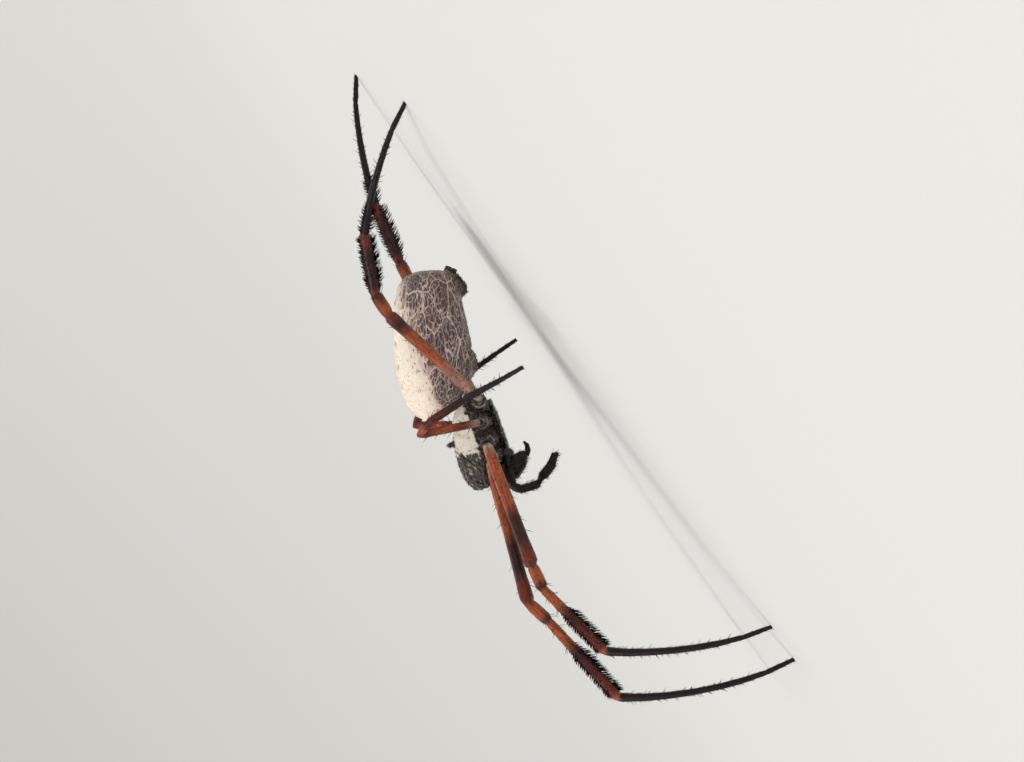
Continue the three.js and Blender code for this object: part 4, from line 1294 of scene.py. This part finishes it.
def spinneret_cones():
    """Six short blunt cones in a ring at the end of the spinneret mound."""
    points = solid_points("spinnerets")
    axis = (Vector(points.mean(axis=0)) - ABDOMEN_MIDDLE).normalized()
    reach = points @ np.array(axis)
    end = Vector(points[reach > reach.max() - 0.3 * MM].mean(axis=0))
    sideways = axis.orthogonal().normalized()
    cones = bmesh.new()
    for i in range(SPINNERETS):
        out = Matrix.Rotation(math.tau * (i + 0.5) / SPINNERETS, 3, axis) @ sideways
        turn = (axis + 0.15 * out).normalized().to_track_quat("Z", "Y").to_matrix().to_4x4()
        bmesh.ops.create_cone(
            cones, cap_ends=True, segments=12, radius1=SPINNERET_ROOT, radius2=SPINNERET_TIP,
            depth=SPINNERET_LENGTH, matrix=Matrix.Translation(end + out * SPINNERET_RING) @ turn,
        )
    mesh = mesh_from("spinneret_cones", cones)
    paint(mesh, "dark", np.ones(len(mesh.vertices)))
    return new_object(mesh.name, mesh)


class WEAVER_OT_abdomen(WeaverOperator):
    """Build the abdomen with its netted pattern, pits, down and spinnerets"""

    bl_idname = "weaver.abdomen"
    bl_label = "Abdomen"

    def build(self):
        size = sizes()
        piece = fused_skin("abdomen_skin", ["abdomen", "spinnerets"], size.body_voxel, size.closing, 8)
        places, _ = corners_of(piece.data)
        forward, aside, up = in_abdomen(places)
        furrow = FURROW_DEPTH * hill(forward - 1.4, 0.4) * smoothstep(-4.8, -6.0, up) * hill(aside, 4.5)
        swell = 0.14 * grain(places, 3.5 * MM, 8) + 0.05 * grain(places, 1.1 * MM, 9)
        move_out(piece.data, (swell - PIT_DEPTH * pit_amount(places) - furrow) * MM)
        for name, amount in abdomen_amounts(corners_of(piece.data)[0]).items():
            paint(piece.data, name, amount)
        settle(piece, "abdomen_skin", "abdomen_hide", "abdomen", "spinnerets")
        settle(spinneret_cones(), "spinneret_hair", "abdomen_hide")
        self.down(piece.data)
        self.bristles(piece.data)

    def down(self, mesh):
        grow_coat(
            "abdomen_down", "abdomen_skin", mesh, seed=50, count=9000, flow=(0.0, 1.0, -0.6), bend=0.15,
            unwrap=self.unwrap, tints=lambda draw, p: 0, values=abdomen_amounts,
            wander=0.25, lift=(0.15, 0.5), length=(0.6, 1.2), width=(0.04, 0.06), unit=sizes().down_length,
        )

    def bristles(self, mesh):
        grow_coat(
            "spinneret_bristles", "spinneret_hair", mesh, seed=51, count=420, flow=(0.0, 1.0, -0.8),
            keep=lambda p, n: dark_amount(p) ** 2 + RARE, bend=0.1, unwrap=self.unwrap,
            tints=lambda draw, p: either(draw.random(len(p)) < 0.15, colours().gold, colours().coat_black),
            lift=(0.3, 1.1), length=(0.3, 0.75), width=(0.05, 0.085),
        )

    @staticmethod
    def unwrap(places):
        return body_unwrap(places, ABDOMEN_MIDDLE, ABDOMEN_PITCH, ABDOMEN_MAP_LENGTH)


# Stage

AIM_FROM_SHIELD = Vector((0, 5.2, -11.26)) * MM  # what the camera looks at, from the shield's middle
SWEEP_FLAT = 0.7  # metres of flat floor all round
SWEEP_BEND = 4.0  # radius of the bend beyond it
SWEEP_TURN = math.radians(42)  # how far the bend turns up
SWEEP_SEGMENTS = 28
SWEEP_STEPS = 96
WORLD_STRENGTH = 0.78
LIGHTS = (
    # name, watts, size, place from the animal
    ("key", 27, 1.0, (1.05, -0.6, 2.25)),
    ("fill", 0.4, 0.8, (0.9, 0.35, 0.3)),
    ("back", 7, 1.4, (-1.5, 1.2, 1.65)),
)


class WEAVER_OT_stage(WeaverOperator):
    """Set up the floor, soft lights and the camera of the photo's view"""

    bl_idname = "weaver.stage"
    bl_label = "Stage"

    def build(self):
        self.floor()
        self.lights()
        self.camera()

    def floor(self):
        """A flat round floor that bends up into a wall all round, so no horizon shows."""
        board = bmesh.new()
        turns = [SWEEP_TURN * i / SWEEP_SEGMENTS for i in range(SWEEP_SEGMENTS + 1)]
        corners = [board.verts.new((0, 0, 0))]
        for turn in turns:
            reach = SWEEP_FLAT + SWEEP_BEND * math.sin(turn)
            corners.append(board.verts.new((reach, 0, SWEEP_BEND * (1 - math.cos(turn)))))
        edges = [board.edges.new(pair) for pair in zip(corners, corners[1:])]
        bmesh.ops.spin(
            board, geom=corners + edges, cent=(0, 0, 0), axis=(0, 0, 1), angle=math.tau, steps=SWEEP_STEPS,
            use_merge=True,
        )
        bmesh.ops.remove_doubles(board, verts=board.verts, dist=1e-5)
        bmesh.ops.recalc_face_normals(board, faces=board.faces)
        mesh = mesh_from("floor", board)
        made = new_object("floor", mesh)
        mesh.materials.append(material("painted_floor"))

    def lights(self):
        world = bpy.data.worlds.new("studio")
        bpy.context.scene.world = world
        world.use_nodes = True
        background = world.node_tree.nodes["Background"]
        background.inputs["Color"].default_value = linear("#eeeeec")
        background.inputs["Strength"].default_value = WORLD_STRENGTH
        for name, watts, size, place in LIGHTS:
            lamp = bpy.data.lights.new(name, "AREA")
            lamp.energy = watts
            lamp.size = size
            made = bpy.data.objects.new(name, lamp)
            made.location = place
            made.rotation_euler = (-Vector(place)).to_track_quat("-Z", "Y").to_euler()
            bpy.context.scene.collection.objects.link(made)

    def camera(self):
        size = sizes()
        lift, roll = size.view_elevation, size.view_roll
        ahead = Vector((-math.cos(lift), 0, -math.sin(lift)))
        upward = Vector((-math.sin(lift), 0, math.cos(lift)))
        head = Vector((0, -1, 0))
        right = head * math.sin(roll) - upward * math.cos(roll)
        down = head * math.cos(roll) + upward * math.sin(roll)
        aim = SHIELD_MIDDLE + AIM_FROM_SHIELD
        turn = Matrix((right, -down, -ahead)).transposed().to_4x4()
        lens = bpy.data.cameras.new("camera")
        lens.lens = size.view_lens
        lens.sensor_width = 36
        lens.clip_start = 0.01
        made = bpy.data.objects.new("camera", lens)
        made.matrix_world = Matrix.Translation(aim - ahead * size.view_distance) @ turn
        bpy.context.scene.collection.objects.link(made)
        bpy.context.scene.camera = made
        bpy.context.scene.view_settings.view_transform = "Standard"


OPERATORS = (
    WEAVER_OT_stage,
    WEAVER_OT_legs,
    WEAVER_OT_prosoma,
    WEAVER_OT_jaws,
    WEAVER_OT_eyes,
    WEAVER_OT_abdomen,
)


class WEAVER_PT_panel(bpy.types.Panel):
    """Lists the pieces, sizes and colours of the model"""

    bl_idname = "WEAVER_PT_panel"
    bl_label = "Orb Weaver"
    bl_space_type = "VIEW_3D"
    bl_region_type = "UI"
    bl_category = "Weaver"

    def draw(self, context):
        for operator in OPERATORS:
            self.layout.operator(operator.bl_idname)
        for group in (context.scene.weaver_sizes, context.scene.weaver_colours):
            for name in group.bl_rna.properties.keys():
                if name not in ("rna_type", "name"):
                    self.layout.prop(group, name)


CLASSES = (WeaverColours, WeaverSizes, *OPERATORS, WEAVER_PT_panel)


def register():
    for each in CLASSES:
        bpy.utils.register_class(each)
    bpy.types.Scene.weaver_sizes = PointerProperty(type=WeaverSizes)
    bpy.types.Scene.weaver_colours = PointerProperty(type=WeaverColours)


def unregister():
    del bpy.types.Scene.weaver_sizes
    del bpy.types.Scene.weaver_colours
    for each in reversed(CLASSES):
        bpy.utils.unregister_class(each)


def main():
    register()
    for operator in OPERATORS:
        group, name = operator.bl_idname.split(".")
        getattr(getattr(bpy.ops, group), name)()


if __name__ == "__main__":
    main()
